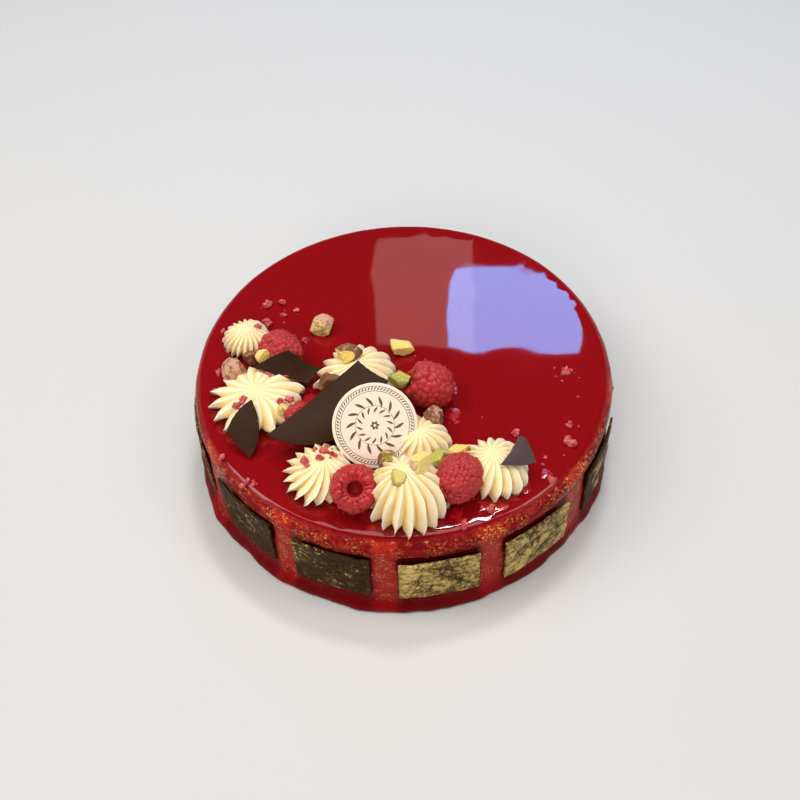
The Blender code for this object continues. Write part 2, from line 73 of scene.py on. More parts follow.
# Piped rosettes: node, place on the cake, radius, height, ridges, turn, lean of the peak, and how ragged
# the tips of the ridges are
ROSETTES = (
    ("cream_rosette_1", (-0.0698, 0.0180), 0.0106, 0.0115, 20, 0.30, (0.0004, 0.0000), 0.05),
    ("cream_rosette_2", (-0.0628, -0.0174), 0.0206, 0.0120, 17, 0.22, (-0.0005, -0.0015), 0.16),
    ("cream_rosette_3", (-0.0203, -0.0095), 0.0184, 0.0155, 17, 0.25, (0.0003, -0.0005), 0.08),
    ("cream_rosette_4", (-0.0370, -0.0585), 0.0144, 0.0140, 17, 0.55, (0.0028, 0.0000), 0.06),
    ("cream_rosette_5", (-0.0003, -0.0736), 0.0165, 0.0250, 17, 0.30, (-0.0018, 0.0008), 0.05),
    ("cream_rosette_6", (0.0049, -0.0440), 0.0134, 0.0130, 16, 0.35, (0.0002, -0.0015), 0.07),
    ("cream_rosette_7", (0.0346, -0.0603), 0.0145, 0.0145, 17, 0.40, (0.0000, 0.0006), 0.06),
)

# Raspberries: node, diameter, length, the way the wide end faces, whether its hollow shows, width of a
# drupelet, and how dusty it is
RASPBERRIES = (
    ("raspberry_1", 0.0178, 0.0165, (-0.60, 0.75, 0.10), False, 0.0027, 0.6),
    ("raspberry_2", 0.0130, 0.0140, (-0.75, 0.55, 0.05), False, 0.0028, 0.4),
    ("raspberry_3", 0.0190, 0.0165, (0.03, -0.60, 0.80), True, 0.0033, 0.0),
    ("raspberry_4", 0.0186, 0.0182, (0.45, 0.75, -0.30), False, 0.0022, 0.5),
    ("raspberry_5", 0.0188, 0.0176, (-0.85, 0.10, 0.45), True, 0.0031, 0.3),
)

# Chocolate shards: node, corners, how far each edge bows, the bulge of the middle, and how much bloom
# dulls it
SHARDS = (
    (
        "chocolate_shard_1",
        (
            (-0.0655, -0.0466, 0.0491),
            (-0.0617, -0.0383, 0.0545),
            (-0.0641, -0.0262, 0.0625),
            (-0.0747, -0.0366, 0.0555),
        ),
        (0.0006, 0.0010, 0.0014, 0.0004),
        0.0010,
        0.1,
    ),
    (
        "chocolate_shard_2",
        (
            (-0.0642, -0.0063, 0.0602),
            (-0.0415, -0.0108, 0.0525),
            (-0.0353, -0.0030, 0.0530),
            (-0.0486, -0.0024, 0.0660),
        ),
        (0.0000, -0.0004, -0.0010, 0.0006),
        0.0008,
        0.15,
    ),
    (
        "chocolate_shard_3",
        (
            (-0.0575, -0.0431, 0.0595),
            (-0.0200, -0.0400, 0.0590),
            (-0.0062, -0.0247, 0.0690),
            (-0.0186, -0.0136, 0.0695),
        ),
        (0.0060, 0.0000, -0.0008, -0.0006),
        0.0022,
        0.1,
    ),
    (
        "chocolate_shard_4",
        (
            (0.0371, -0.0657, 0.0628),
            (0.0515, -0.0628, 0.0588),
            (0.0474, -0.0548, 0.0652),
            (0.0452, -0.0545, 0.0662),
        ),
        (0.0008, 0.0004, 0.0000, -0.0006),
        0.0006,
        1.0,
    ),
)

# Pistachio pieces: node, half sizes, turn and tilt in degrees, share of skin, how green the kernel is, and
# how pale the piece is
PISTACHIOS = (
    ("pistachio_01", (0.0052, 0.0044, 0.0040), 20.0, 10.0, 0.56, 0.35, 1.00),
    ("pistachio_02", (0.0056, 0.0038, 0.0033), -20.0, 0.0, 0.05, 0.15, 0.50),
    ("pistachio_03", (0.0064, 0.0045, 0.0032), 28.0, -20.0, 0.45, 0.00, 0.30),
    ("pistachio_04", (0.0048, 0.0040, 0.0038), 35.0, 12.0, 0.70, 0.45, 0.00),
    ("pistachio_05", (0.0052, 0.0032, 0.0030), 18.0, 8.0, 0.25, 0.85, 0.30),
    ("pistachio_06", (0.0038, 0.0050, 0.0038), 30.0, -20.0, 0.85, 0.10, 0.45),
    ("pistachio_07", (0.0048, 0.0056, 0.0046), -15.0, 20.0, 0.80, 0.30, 0.80),
    ("pistachio_08", (0.0032, 0.0032, 0.0040), 0.0, 0.0, 0.90, 0.20, 0.30),
    ("pistachio_09", (0.0027, 0.0024, 0.0034), 20.0, 0.0, 0.05, 0.05, 0.50),
    ("pistachio_10", (0.0036, 0.0038, 0.0044), 10.0, 10.0, 0.60, 0.60, 0.20),
    ("pistachio_11", (0.0037, 0.0033, 0.0028), 25.0, -20.0, 0.10, 0.45, 0.50),
    ("pistachio_12", (0.0026, 0.0040, 0.0028), -10.0, 40.0, 0.12, 0.55, 0.50),
    ("pistachio_13", (0.0042, 0.0058, 0.0030), -20.0, 35.0, 0.15, 0.25, 0.80),
    ("pistachio_14", (0.0052, 0.0038, 0.0036), 32.0, 15.0, 0.35, 1.00, 0.20),
    ("pistachio_15", (0.0040, 0.0036, 0.0040), 38.0, 10.0, 0.05, 0.10, 0.50),
    ("pistachio_16", (0.0027, 0.0022, 0.0020), 15.0, 0.0, 0.50, 0.00, 0.70),
)

# Freeze-dried raspberry crumbs: place and size across, on the glaze and on the cream
CRUMBS = (
    ((-0.0612, 0.0416), 0.0048),
    ((-0.0544, 0.0426), 0.0042),
    ((-0.0477, 0.0379), 0.0030),
    ((-0.0540, 0.0346), 0.0034),
    ((-0.0433, 0.0180), 0.0038),
    ((-0.0815, 0.0267), 0.0026),
    ((-0.0608, 0.0290), 0.0060),
    ((-0.0822, 0.0012), 0.0048),
    ((-0.0826, -0.0091), 0.0040),
    ((-0.0768, -0.0452), 0.0034),
    ((-0.0683, -0.0593), 0.0030),
    ((-0.0660, -0.0578), 0.0034),
    ((-0.0637, -0.0589), 0.0026),
    ((0.0470, -0.0397), 0.0052),
    ((0.0723, -0.0072), 0.0050),
    ((0.0699, -0.0365), 0.0038),
    ((0.0687, -0.0461), 0.0056),
    ((0.0578, -0.0650), 0.0036),
    ((0.0328, -0.0775), 0.0044),
    ((0.0222, -0.0838), 0.0040),
    ((-0.0635, 0.0202), 0.0036),
    ((-0.0700, -0.0251), 0.0060),
    ((-0.0520, -0.0244), 0.0042),
    ((-0.0487, -0.0227), 0.0042),
    ((-0.0582, -0.0094), 0.0030),
    ((-0.0507, -0.0086), 0.0030),
    ((-0.0374, -0.0525), 0.0032),
    ((-0.0340, -0.0543), 0.0046),
    ((-0.0321, -0.0490), 0.0032),
    ((-0.0351, -0.0577), 0.0040),
    ((-0.0298, -0.0553), 0.0036),
    ((-0.0410, -0.0588), 0.0048),
)

# Chocolate panels round the side
PANEL_COUNT = 12

# Thin wet patches of juice on the glaze: middle, half width and half depth of what shows
JUICE = (
    ((0.0189, -0.0780), 0.0034, 0.0036),
    ((0.0330, -0.0752), 0.0068, 0.0033),
    ((0.0216, -0.0815), 0.0035, 0.0018),
    ((-0.0180, -0.0778), 0.0036, 0.0030),
    ((-0.0156, -0.0832), 0.0022, 0.0018),
    ((0.0200, -0.0278), 0.0045, 0.0052),
    ((0.0483, -0.0675), 0.0022, 0.0027),
    ((0.0570, -0.0612), 0.0030, 0.0025),
    ((-0.0414, -0.0152), 0.0040, 0.0036),
    ((0.0224, -0.0146), 0.0015, 0.0026),
)

# Flattened beads of juice: place and size across
BEADS = (
    ((0.0752, -0.0212), 0.0012),
    ((0.0560, -0.0560), 0.0016),
    ((0.0575, -0.0525), 0.0022),
    ((0.0060, 0.0065), 0.0010),
    ((0.0330, -0.0300), 0.0008),
    ((0.0700, -0.0470), 0.0012),
    ((0.0655, -0.0520), 0.0010),
)

# How far the foot of pooled glaze stands out: degrees round the cake, and metres
FOOT_SPREADS = (
    (-180, 0.0046),
    (-164, 0.0036),
    (-153, 0.0056),
    (-146, 0.0040),
    (-139, 0.0030),
    (-124, 0.0043),
    (-116, 0.0030),
    (-105, 0.0042),
    (-86, 0.0036),
    (-70, 0.0027),
    (-57, 0.0019),
    (-37, 0.0013),
    (-28, 0.0026),
    (0, 0.0024),
    (40, 0.0036),
    (80, 0.0026),
    (120, 0.0038),
    (150, 0.0028),
)

# The outline of the foot of pooled glaze: height and spread, as shares of the foot's own
FOOT_OUTLINE = (
    (0.0, 0.75),
    (0.06, 0.90),
    (0.16, 1.0),
    (0.26, 0.99),
    (0.36, 0.92),
    (0.46, 0.80),
    (0.56, 0.62),
    (0.66, 0.42),
    (0.76, 0.26),
    (0.88, 0.14),
    (1.0, 0.07),
)

# Rings up the glazed side and in across the top, and rings round the shoulder
SIDE_STEPS = 24
SHOULDER_STEPS = 10

# How much fuller the cake is at the back than at the front
BACK_FULLNESS = 0.007

# Degrees from a panel's middle to where the glaze between the panels starts, and how far it takes to show
PANEL_HALF_ANGLE = 10.0
BETWEEN_BLEND = 1.6

# Latitudes of a rosette's rings in degrees, steps across one ridge, and the step that its crest runs along
ROSETTE_RINGS = (
    *(-16, -12, -7, -1, 5, 11, 17, 23, 29, 35, 40, 45, 50),
    *(54, 58, 62, 66, 69, 72, 75, 78, 80.5, 83, 85, 87, 88.5),
)
RIDGE_STEPS = 24
CREST_STEP = 14

# A raspberry: latitude of the rim at its wide end, its hollow's and its core's radius as shares of its own,
# and how many drupelets stand round the hollow
RIM_LATITUDE = -0.75
BORE_SHARE = 0.31
CORE_SHARE = 0.94
MOUTH_DRUPELETS = 18

# White chocolate medallion: place and the way its face looks
MEDALLION_CENTRE = (-0.0126, -0.0426, 0.0622)
MEDALLION_FACING = (0.023, -0.609, 0.793)

# The camera stands as the photo's did
CAMERA_PLACE = (-0.00178, -0.33102, 0.43746)
CAMERA_ELEVATION = math.radians(51.25)
CAMERA_ROLL = math.radians(-2.71)
CAMERA_LENS = 51.75


def colour_property(name, default, description):
    return FloatVectorProperty(
        name=name, description=description, default=default, subtype="COLOR", size=3, min=0, max=1
    )


def length_property(name, default, description):
    return FloatProperty(
        name=name, description=description, default=default, min=0, unit="LENGTH", precision=4
    )


def power_property(name, default, description):
    return FloatProperty(name=name, description=description, default=default, min=0, unit="POWER")


def share_property(name, default, description):
    return FloatProperty(name=name, description=description, default=default, min=0, max=1, subtype="FACTOR")


class GlazeSettings(bpy.types.PropertyGroup):
    radius: length_property("Radius", 0.0925, "Radius of the side")
    height: length_property("Height", 0.048, "Height of the flat top")
    shoulder: length_property("Shoulder", 0.0046, "Radius of the rounded edge")
    foot_spread: length_property("Foot spread", 0.0032, "How far the glaze that ran down stands out")
    foot_height: length_property("Foot height", 0.0075, "Height of the glaze that ran down")
    foot_wave: length_property("Foot wave", 0.0009, "Unevenness of the foot")
    recess: length_property("Recess", 0.0014, "Depth of the hollow above each panel")
    recess_bottom: length_property("Recess bottom", 0.026, "Height where the hollow starts")
    recess_top: length_property("Recess top", 0.0385, "Height where the hollow ends")
    lip: length_property("Lip", 0.0005, "How far the glaze stands out over the hollow")
    lip_height: length_property("Lip height", 0.0415, "Height of that lip")
    colour: colour_property("Glaze", (0.228, 0.0028, 0.0045), "Red of the glaze")
    # Deep red where the glaze lies thick, and painted shade down the side, behind the panels and in the
    # hollows above them
    deep_and_shade_colour: colour_property("Deep glaze", (0.12, 0.0010, 0.0020), "Red where the glaze lies thick")
    # Lighter orange red: painted light and reflection on the side between the panels and in streaks along
    # the rim
    warm_light_colour: colour_property("Warm glaze", (0.46, 0.020, 0.010), "Red where the side's glaze is thin")
    gold_colour: colour_property("Gold dust", (0.80, 0.42, 0.12), "Gold that rubbed off the panels")


class PanelSettings(bpy.types.PropertyGroup):
    width: length_property("Width", 0.0338, "Width of a panel")
    height: length_property("Height", 0.0268, "Height of a panel")
    thickness: length_property("Thickness", 0.0011, "Thickness of a panel")
    relief: length_property("Relief", 0.0011, "Depth of the creases")
    reach: length_property("Reach", 0.0934, "Distance of the panels' faces from the middle of the cake")
    curve: length_property("Curve", 0.13, "Radius that the panels are bent to")
    chocolate: colour_property("Chocolate", (0.040, 0.016, 0.005), "Dark chocolate under the gold")
    gold: colour_property("Gold", (0.92, 0.66, 0.22), "Gold lustre on the creases")
    # Dark gold for darker random patches and painted shade in the hollows of the creases
    dark_and_shaded_gold: colour_property("Old gold", (0.075, 0.044, 0.010), "Gold in the hollows")


class CreamSettings(bpy.types.PropertyGroup):
    crest_sharpness: length_property("Crest bead", 0.00030, "Height of the crisp line on each ridge")
    # Cream on the ridges is painted light, cream in the valleys painted shade
    light: colour_property("Light", (0.93, 0.77, 0.50), "Cream on the ridges")
    shade: colour_property("Shade", (0.86, 0.62, 0.22), "Cream in the valleys")
    # Painted highlight along each crest
    crest: colour_property("Crest", (1.00, 0.95, 0.82), "Thin pale line along each ridge")


class BerrySettings(bpy.types.PropertyGroup):
    hairs: IntProperty(name="Hairs", description="Fine hairs on each raspberry", default=90, min=0)
    # Crowns of the drupelets carry painted light, the gaps between them painted shade
    bright: colour_property("Bright", (0.45, 0.018, 0.018), "Red of a drupelet's crown")
    deep: colour_property("Deep", (0.22, 0.005, 0.006), "Red between the drupelets")
    dust: colour_property("Dust", (0.38, 0.060, 0.058), "Fine dusty bloom")
    crumb: colour_property("Crumb", (0.50, 0.042, 0.050), "Freeze-dried crumb")
    crumb_pale: colour_property("Crumb core", (0.72, 0.22, 0.20), "Pale broken side of a crumb")


class ChocolateSettings(bpy.types.PropertyGroup):
    thickness: length_property("Shard thickness", 0.0014, "Thickness of a shard")
    dark: colour_property("Dark", (0.036, 0.0155, 0.0070), "Dark chocolate")
    bloom: colour_property("Bloom", (0.085, 0.055, 0.058), "Dull greyish chocolate")
    disc_radius: length_property("Disc radius", 0.0176, "Radius of the medallion")
    disc_thickness: length_property("Disc thickness", 0.0020, "Thickness of the medallion")
    white: colour_property("White", (0.88, 0.69, 0.55), "White chocolate")
    print: colour_property("Print", (0.050, 0.028, 0.022), "Printed ornament")


class NutSettings(bpy.types.PropertyGroup):
    yellow: colour_property("Yellow kernel", (0.84, 0.54, 0.08), "Golden cut kernel")
    green: colour_property("Green kernel", (0.42, 0.40, 0.030), "Green cut kernel")
    skin: colour_property("Skin", (0.22, 0.080, 0.028), "Brown skin")
    pink: colour_property("Pink skin", (0.66, 0.36, 0.22), "Pinkish patches of the skin")


class StageSettings(bpy.types.PropertyGroup):
    floor: colour_property("Floor", (0.60, 0.595, 0.59), "Plain pale floor")
    window_power: power_property("Window power", 0.98, "Light behind on the right")
    top_power: power_property("Top power", 7.4, "Broad light overhead")
    side_power: power_property("Side power", 6.2, "Broad light on the left, and half of it on the right")
    front_power: power_property("Front power", 4.62, "Light from the front, above")
    spark_power: power_property("Spark power", 4.8, "Light high behind for crisp glints")
    sky: share_property("Sky", 0.05, "Strength of the even light from above")
    horizon: share_property("Horizon", 0.62, "Strength of the light from low down all round")


def settings(group):
    return getattr(bpy.context.scene, "cake_" + group)


def pick(*objects):
    """Selects these objects alone and makes the first one active."""
    bpy.ops.object.select_all(action="DESELECT")
    for obj in objects:
        obj.select_set(True)
    bpy.context.view_layer.objects.active = objects[0]


@contextlib.contextmanager
def editing(obj):
    """Edit mode on one object, with all of it selected."""
    pick(obj)
    bpy.ops.object.mode_set(mode="EDIT")
    bpy.ops.mesh.select_all(action="SELECT")
    yield
    bpy.ops.object.mode_set(mode="OBJECT")


def added(name, operator, **arguments):
    """The object that a primitive operator adds, alone and selected."""
    bpy.ops.object.select_all(action="DESELECT")
    operator(**arguments)
    obj = bpy.context.object
    obj.name = name
    return obj


def sheet(name, across, up, size=1):
    """A flat square of so many steps each way."""
    return added(name, bpy.ops.mesh.primitive_grid_add, x_subdivisions=across, y_subdivisions=up, size=size)


def turned(name, steps, profile):
    """A disc extruded and scaled ring by ring along (radius, height) pairs, and closed at its peak."""
    radius, height = profile[0]
    obj = added(name, bpy.ops.mesh.primitive_circle_add, vertices=steps, radius=radius, fill_type="NGON")
    with editing(obj):
        bpy.ops.transform.translate(value=(0, 0, height))
        for next_radius, next_height in profile[1:]:
            bpy.ops.mesh.extrude_region_move(TRANSFORM_OT_translate={"value": (0, 0, next_height - height)})
            ratio = next_radius / radius
            bpy.ops.transform.resize(value=(ratio, ratio, 1), center_override=(0, 0, next_height))
            radius, height = next_radius, next_height
        bpy.ops.mesh.poke()
        bpy.ops.mesh.select_all(action="SELECT")
        bpy.ops.mesh.normals_make_consistent(inside=False)
    return obj


def points_of(obj):
    points = np.empty(len(obj.data.vertices) * 3)
    obj.data.vertices.foreach_get("co", points)
    return points.reshape(-1, 3)


def move_points(obj, points):
    obj.data.vertices.foreach_set("co", np.ascontiguousarray(points).ravel())
    obj.data.update()


def ripples(points, size, seed, octaves=2):
    """Smooth noise of about -1 to 1 at each point, with features of a size."""
    shift = Vector((3.7, 1.3, 8.9)) * (seed + 1)
    return np.array([noise.fractal(Vector(p) / size + shift, 0.6, 2.1, octaves) for p in points])


def normals_of(obj):
    directions = np.empty(len(obj.data.vertices) * 3, np.float32)
    obj.data.vertex_normals.foreach_get("vector", directions)
    return directions.reshape(-1, 3).astype(float)


def roughen(obj, depth, size, seed, octaves=2):
    """Pushes the surface in and out along its normals."""
    points = points_of(obj)
    move_points(obj, points + normals_of(obj) * ripples(points, size, seed, octaves)[:, None] * depth)


def write_field(obj, name, values):
    """Stores one number per vertex for the shader to read."""
    field = obj.data.attributes.new(name, "FLOAT", "POINT")
    field.data.foreach_set("value", np.asarray(values, np.float32))


def apply_modifier(obj, kind, **values):
    pick(obj)
    modifier = obj.modifiers.new(kind.lower(), kind)
    for key, value in values.items():
        setattr(modifier, key, value)
    bpy.ops.object.modifier_apply(modifier=modifier.name)


def bake_place(obj, matrix=None):
    """Moves an object's place into its mesh, after a further transform."""
    if matrix is not None:
        obj.matrix_world = matrix @ obj.matrix_world
    pick(obj)
    bpy.ops.object.transform_apply(location=True, rotation=True, scale=True)


def cut_off(obj, direction, reach):
    """Cuts away what lies further out than a distance in a direction, and closes the cut."""
    with editing(obj):
        plane = {"plane_co": direction * reach, "plane_no": direction}
        bpy.ops.mesh.bisect(**plane, use_fill=True, clear_outer=True)


def join(name, pieces):
    pick(*pieces)
    bpy.ops.object.join()
    pieces[0].name = name
    return pieces[0]


def copies(name, template, matrices, fields=()):
    """One mesh of many placed copies of a template, which is then removed.

    The template's painted light and shade go with it, and each of the fields holds one number for each copy.
    """
    shape = points_of(template)
    polygons = [tuple(p.vertices) for p in template.data.polygons]
    painted_light = [value.value for value in template.data.attributes["painted_light"].data]
    bpy.data.objects.remove(template)
    points, faces = [], []
    for number, matrix in enumerate(matrices):
        turn = np.array(matrix.to_3x3())
        points.append(shape @ turn.T + np.array(matrix.translation))
        offset = number * len(shape)
        faces += [tuple(v + offset for v in polygon) for polygon in polygons]
    mesh = bpy.data.meshes.new(name)
    mesh.from_pydata(np.concatenate(points).tolist(), [], faces)
    obj = bpy.data.objects.new(name, mesh)
    bpy.context.scene.collection.objects.link(obj)
    write_field(obj, "painted_light", np.tile(painted_light, len(matrices)))
    for key, values in fields:
        write_field(obj, key, np.repeat(values, len(shape)))
    return obj


def finish_piece(obj, material, slot, *nodes, angle=None):
    """Shades a piece, gives it its finish and lets it stand for its CAD nodes."""
    bake_place(obj)
    if angle is None:
        bpy.ops.object.shade_smooth()
    else:
        bpy.ops.object.shade_smooth_by_angle(angle=math.radians(angle))
    obj.data.materials.clear()
    obj.data.materials.append(material)
    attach(obj, "root")
    if nodes:
        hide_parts(*nodes)


def middle_of(node):
    low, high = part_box(node)
    return (low + high) / 2


def move_to_node(obj, node):
    """Puts the middle of an object's box where the middle of a CAD node's box is."""
    points = points_of(obj)
    shape_middle = Vector((points.min(0) + points.max(0)) / 2)
    bake_place(obj, Matrix.Translation(middle_of(node) - shape_middle))


def facing(direction):
    """The rotation that takes +Z to a direction."""
    return Vector((0, 0, 1)).rotation_difference(Vector(direction).normalized()).to_matrix().to_4x4()


class Field:
    """A number that varies over a surface. Python's operators on it add Math nodes."""

    def __init__(self, finish, socket):
        self.finish = finish
        self.socket = socket

    def combine(self, operation, *values):
        return self.finish.node("ShaderNodeMath", {"operation": operation}, dict(enumerate(values)))

    def __add__(self, other):
        return self.combine("ADD", self, other)

    def __sub__(self, other):
        return self.combine("SUBTRACT", self, other)

    def __rsub__(self, other):
        return self.combine("SUBTRACT", other, self)

    def __mul__(self, other):
        return self.combine("MULTIPLY", self, other)

    def __truediv__(self, other):
        return self.combine("DIVIDE", self, other)

    def __pow__(self, other):
        return self.combine("POWER", self, other)

    def __mod__(self, other):
        return self.combine("FLOORED_MODULO", self, other)

    def __abs__(self):
        return self.combine("ABSOLUTE", self)

    __radd__ = __add__
    __rmul__ = __mul__

    def rise(self, low, high):
        """From 0 below low to 1 above high, eased. A high below low falls instead."""
        eased = {"interpolation_type": "SMOOTHSTEP"}
        limits = {"Value": self, "From Min": low, "From Max": high}
        return self.finish.node("ShaderNodeMapRange", eased, limits)


class Finish:
    """A material under construction, round one Principled shader whose constants are given by name."""

    def __init__(self, name, **constants):
        self.material = bpy.data.materials.new(name)
        self.material.use_nodes = True
        self.tree = self.material.node_tree
        self.shader = self.tree.nodes["Principled BSDF"]
        for key, value in constants.items():
            self.shader.inputs[key.replace("_", " ")].default_value = value
        self.place = self.node("ShaderNodeTexCoord", output="Object")

    def node(self, kind, options=None, inputs=None, output=0):
        """Adds a node with its options, and its inputs as values or links, and returns one output."""
        made = self.tree.nodes.new(kind)
        for key, value in (options or {}).items():
            setattr(made, key, value)
        for key, value in (inputs or {}).items():
            self.feed(made.inputs[key], value)
        return Field(self, made.outputs[output])

    def feed(self, socket, value):
        if isinstance(value, Field):
            self.tree.links.new(value.socket, socket)
        elif hasattr(value, "__len__") and len(value) == 3 and socket.type == "RGBA":
            socket.default_value = (*value, 1.0)
        else:
            socket.default_value = value

    def noise(self, scale, detail=2.0, roughness=0.5, stretch=(1, 1, 1), distortion=0.0):
        """Noise of about 0 to 1 with features of 1/scale metres."""
        place = self.place
        if stretch != (1, 1, 1):
            place = self.node("ShaderNodeMapping", {}, {"Vector": place, "Scale": stretch})
        inputs = {"Vector": place, "Scale": scale, "Detail": detail, "Roughness": roughness}
        return self.node("ShaderNodeTexNoise", {}, {**inputs, "Distortion": distortion})

    def cells(self, scale, feature="F1"):
        """Distance to the nearest of scattered points, or to the cells' edges."""
        inputs = {"Vector": self.place, "Scale": scale}
        return self.node("ShaderNodeTexVoronoi", {"feature": feature}, inputs, "Distance")

    def field(self, name):
        return self.node("ShaderNodeAttribute", {"attribute_name": name}, output="Fac")

    def axis(self, name, place=None):
        return self.node("ShaderNodeSeparateXYZ", {}, {"Vector": place or self.place}, name)

    def mix(self, factor, first, second):
        """A colour between two, by a factor."""
        return self.node("ShaderNodeMix", {"data_type": "RGBA"}, {0: factor, 6: first, 7: second}, 2)

    def bump(self, height, strength, distance):
        inputs = {"Height": height, "Strength": strength, "Distance": distance}
        return self.node("ShaderNodeBump", {}, inputs)

    def wear(self, **links):
        """Feeds the shader's varying sockets and returns the material."""
        for key, value in links.items():
            self.feed(self.shader.inputs[key.replace("_", " ")], value)
        return self.material


def glaze_finish(sizes):
    """Mirror glaze: still and deep red on top, streaked and dusted with gold down the side, with painted
    shade behind the panels and in the hollows above them, and painted light between the panels and along the
    rim.
    """
    glaze = Finish("red_mirror_glaze", IOR=1.38, Specular_IOR_Level=0.1, Coat_IOR=1.38, Coat_Roughness=0.03)
    height = glaze.axis("Z")
    between = glaze.field("between")
    side = height.rise(sizes.height - 0.0003, sizes.height - 0.0025)
    rim = side * height.rise(sizes.height - 0.013, sizes.height - 0.007)
    low = height.rise(0.040, 0.006)
    streaks = glaze.noise(320, 4, 0.65, (1, 1, 2.6), 0.6)
    # Painted shade: deeper red in the hollow above each panel
    recess = height.rise(sizes.recess_bottom, sizes.recess_bottom + 0.003) * (1.0 - between)
    recess = recess * height.rise(sizes.recess_top + 0.0015, sizes.recess_top - 0.0025)
    # Deeper red down the side, more low down and most behind the panels: thicker glaze at the foot, and
    # painted shade behind the panels
    pooled = side * (0.40 + low * 0.35) * (1.0 - between * 0.8)
    thick_and_shaded = glaze.noise(18, 2).rise(0.35, 0.75) * 0.22 + pooled + recess
    red = glaze.mix(thick_and_shaded.rise(0.0, 1.0), sizes.colour, sizes.deep_and_shade_colour)
    # Painted light: lighter orange red on the side between the panels, and painted reflection streaks along
    # the rim
    warm_light = between * side * height.rise(0.001, 0.012) * (0.3 + streaks * 0.6)
    warm_light = (warm_light + rim * streaks.rise(0.42, 0.62) * 0.6).rise(0.0, 1.0)
    red = glaze.mix(warm_light, red, sizes.warm_light_colour)
    flecks = glaze.noise(920, 4, 0.75).rise(0.545, 0.60) * glaze.noise(170, 2).rise(0.42, 0.56)
    gold = flecks * side * height.rise(0.003, 0.010) * (between * 0.70 + rim * 0.60 + 0.1) * (1.0 - recess)
    waves = glaze.noise(60, 1) * 0.12 + streaks * (side * 0.6 + rim * 1.8)
    waves = waves + glaze.noise(1100, 3) * (side * 0.35 + rim * 0.5)
    shoulder = height.rise(sizes.height - 0.0006, sizes.height - 0.0030)
    return glaze.wear(
        Base_Color=glaze.mix(gold, red, sizes.gold_colour),
        Roughness=0.03 + side * 0.05 + gold * 0.2,
        Metallic=gold * 0.8,
        Coat_Weight=(1.0 - side * 0.9) * (1.0 - shoulder * 0.7),
        Normal=glaze.bump(waves, 0.5, 0.0012),
    )


def gilded_finish(sizes):
    """Dark chocolate crumpled like foil, with gold lustre where it catches on the folds; painted shade along
    the crease bottoms and in the hollows, painted light on the raised folds, and painted glints.
    """
    foil = Finish("gold_dusted_chocolate", IOR=1.38, Specular_IOR_Level=0.05)
    crease = foil.field("crease")
    gilt = foil.field("gilt")
    patch = foil.noise(70, 3, 0.6)
    grain = foil.noise(1500, 3, 0.7)
    groove = foil.field("groove")
    cover = (gilt * 1.3 + crease * 0.5 + patch * 0.6 - 0.85).rise(0.0, 0.7)
    # Painted shade: bare dark chocolate along the bottom of each crease
    cover = cover * (0.6 + grain.rise(0.35, 0.6) * 0.4) * (1.0 - groove * 0.85)
    # Gold specks, more of them on the raised creases: gold flecks and painted glints
    glints = foil.noise(560, 4, 0.75).rise(0.555, 0.63) * (crease.rise(0.40, 0.75) * 0.7 + 0.3)
    cover = (cover + glints * patch.rise(0.42, 0.60) * 0.9 + 0.08).rise(0.0, 1.0)
    # Gold lighter on the raised creases and dark in the hollows: painted light and shade, with random tone
    tone = (crease * 0.7 + foil.noise(480, 5, 0.8) * 2.4 - 1.15).rise(0.0, 0.8)
    gold = foil.mix(tone, sizes.dark_and_shaded_gold, sizes.gold)
    fine = foil.cells(330, "DISTANCE_TO_EDGE")
    folds = foil.cells(150) * 1.1 + foil.cells(270) * 0.5
    crumple = foil.noise(300, 4, 0.7) * (0.35 + gilt * 0.6)
    height = fine.rise(0.0, 0.35) * 0.40 + grain * 0.12 + crumple + folds
    return foil.wear(
        Base_Color=foil.mix(cover, sizes.chocolate, gold),
        Metallic=cover * 0.55,
        Roughness=0.36 - cover * 0.10 + grain * 0.10,
        Normal=foil.bump(height, 1.0, 0.0014),
    )


def cream_finish(sizes):
    """Piped cream: ivory on the ridges as painted light, deeper in the valleys as painted shade, with a
    painted highlight line along each crest and the fine pits of whipped air.
    """
    soft = {"Subsurface_Weight": 0.25, "Subsurface_Scale": 0.0008}
    cream = Finish("whipped_cream", Specular_IOR_Level=0.12, **soft)
    cream.shader.inputs["Subsurface Radius"].default_value = (1.0, 0.92, 0.80)
    ridge = cream.field("ridge")
    blotch = cream.noise(260, 2, 0.5)
    pits = cream.cells(1400).rise(0.0, 0.35)
    grain = cream.noise(1600, 3, 0.6)
    # Painted light on the ridges and painted shade in the valleys, with random blotches
    light = (ridge * 1.1 + blotch * 0.35 - 0.2).rise(0.0, 1.0)
    # Painted highlight along each crest
    line = cream.field("crest").rise(0.10, 0.75) * 0.9
    relief = pits * 0.25 + grain * 0.5 + cream.noise(420, 2) * 0.8
    return cream.wear(
        Base_Color=cream.mix(line, cream.mix(light, sizes.shade, sizes.light), sizes.crest),
        Roughness=0.42 + grain * 0.15,
        Normal=cream.bump(relief, 0.22, 0.0005),
    )


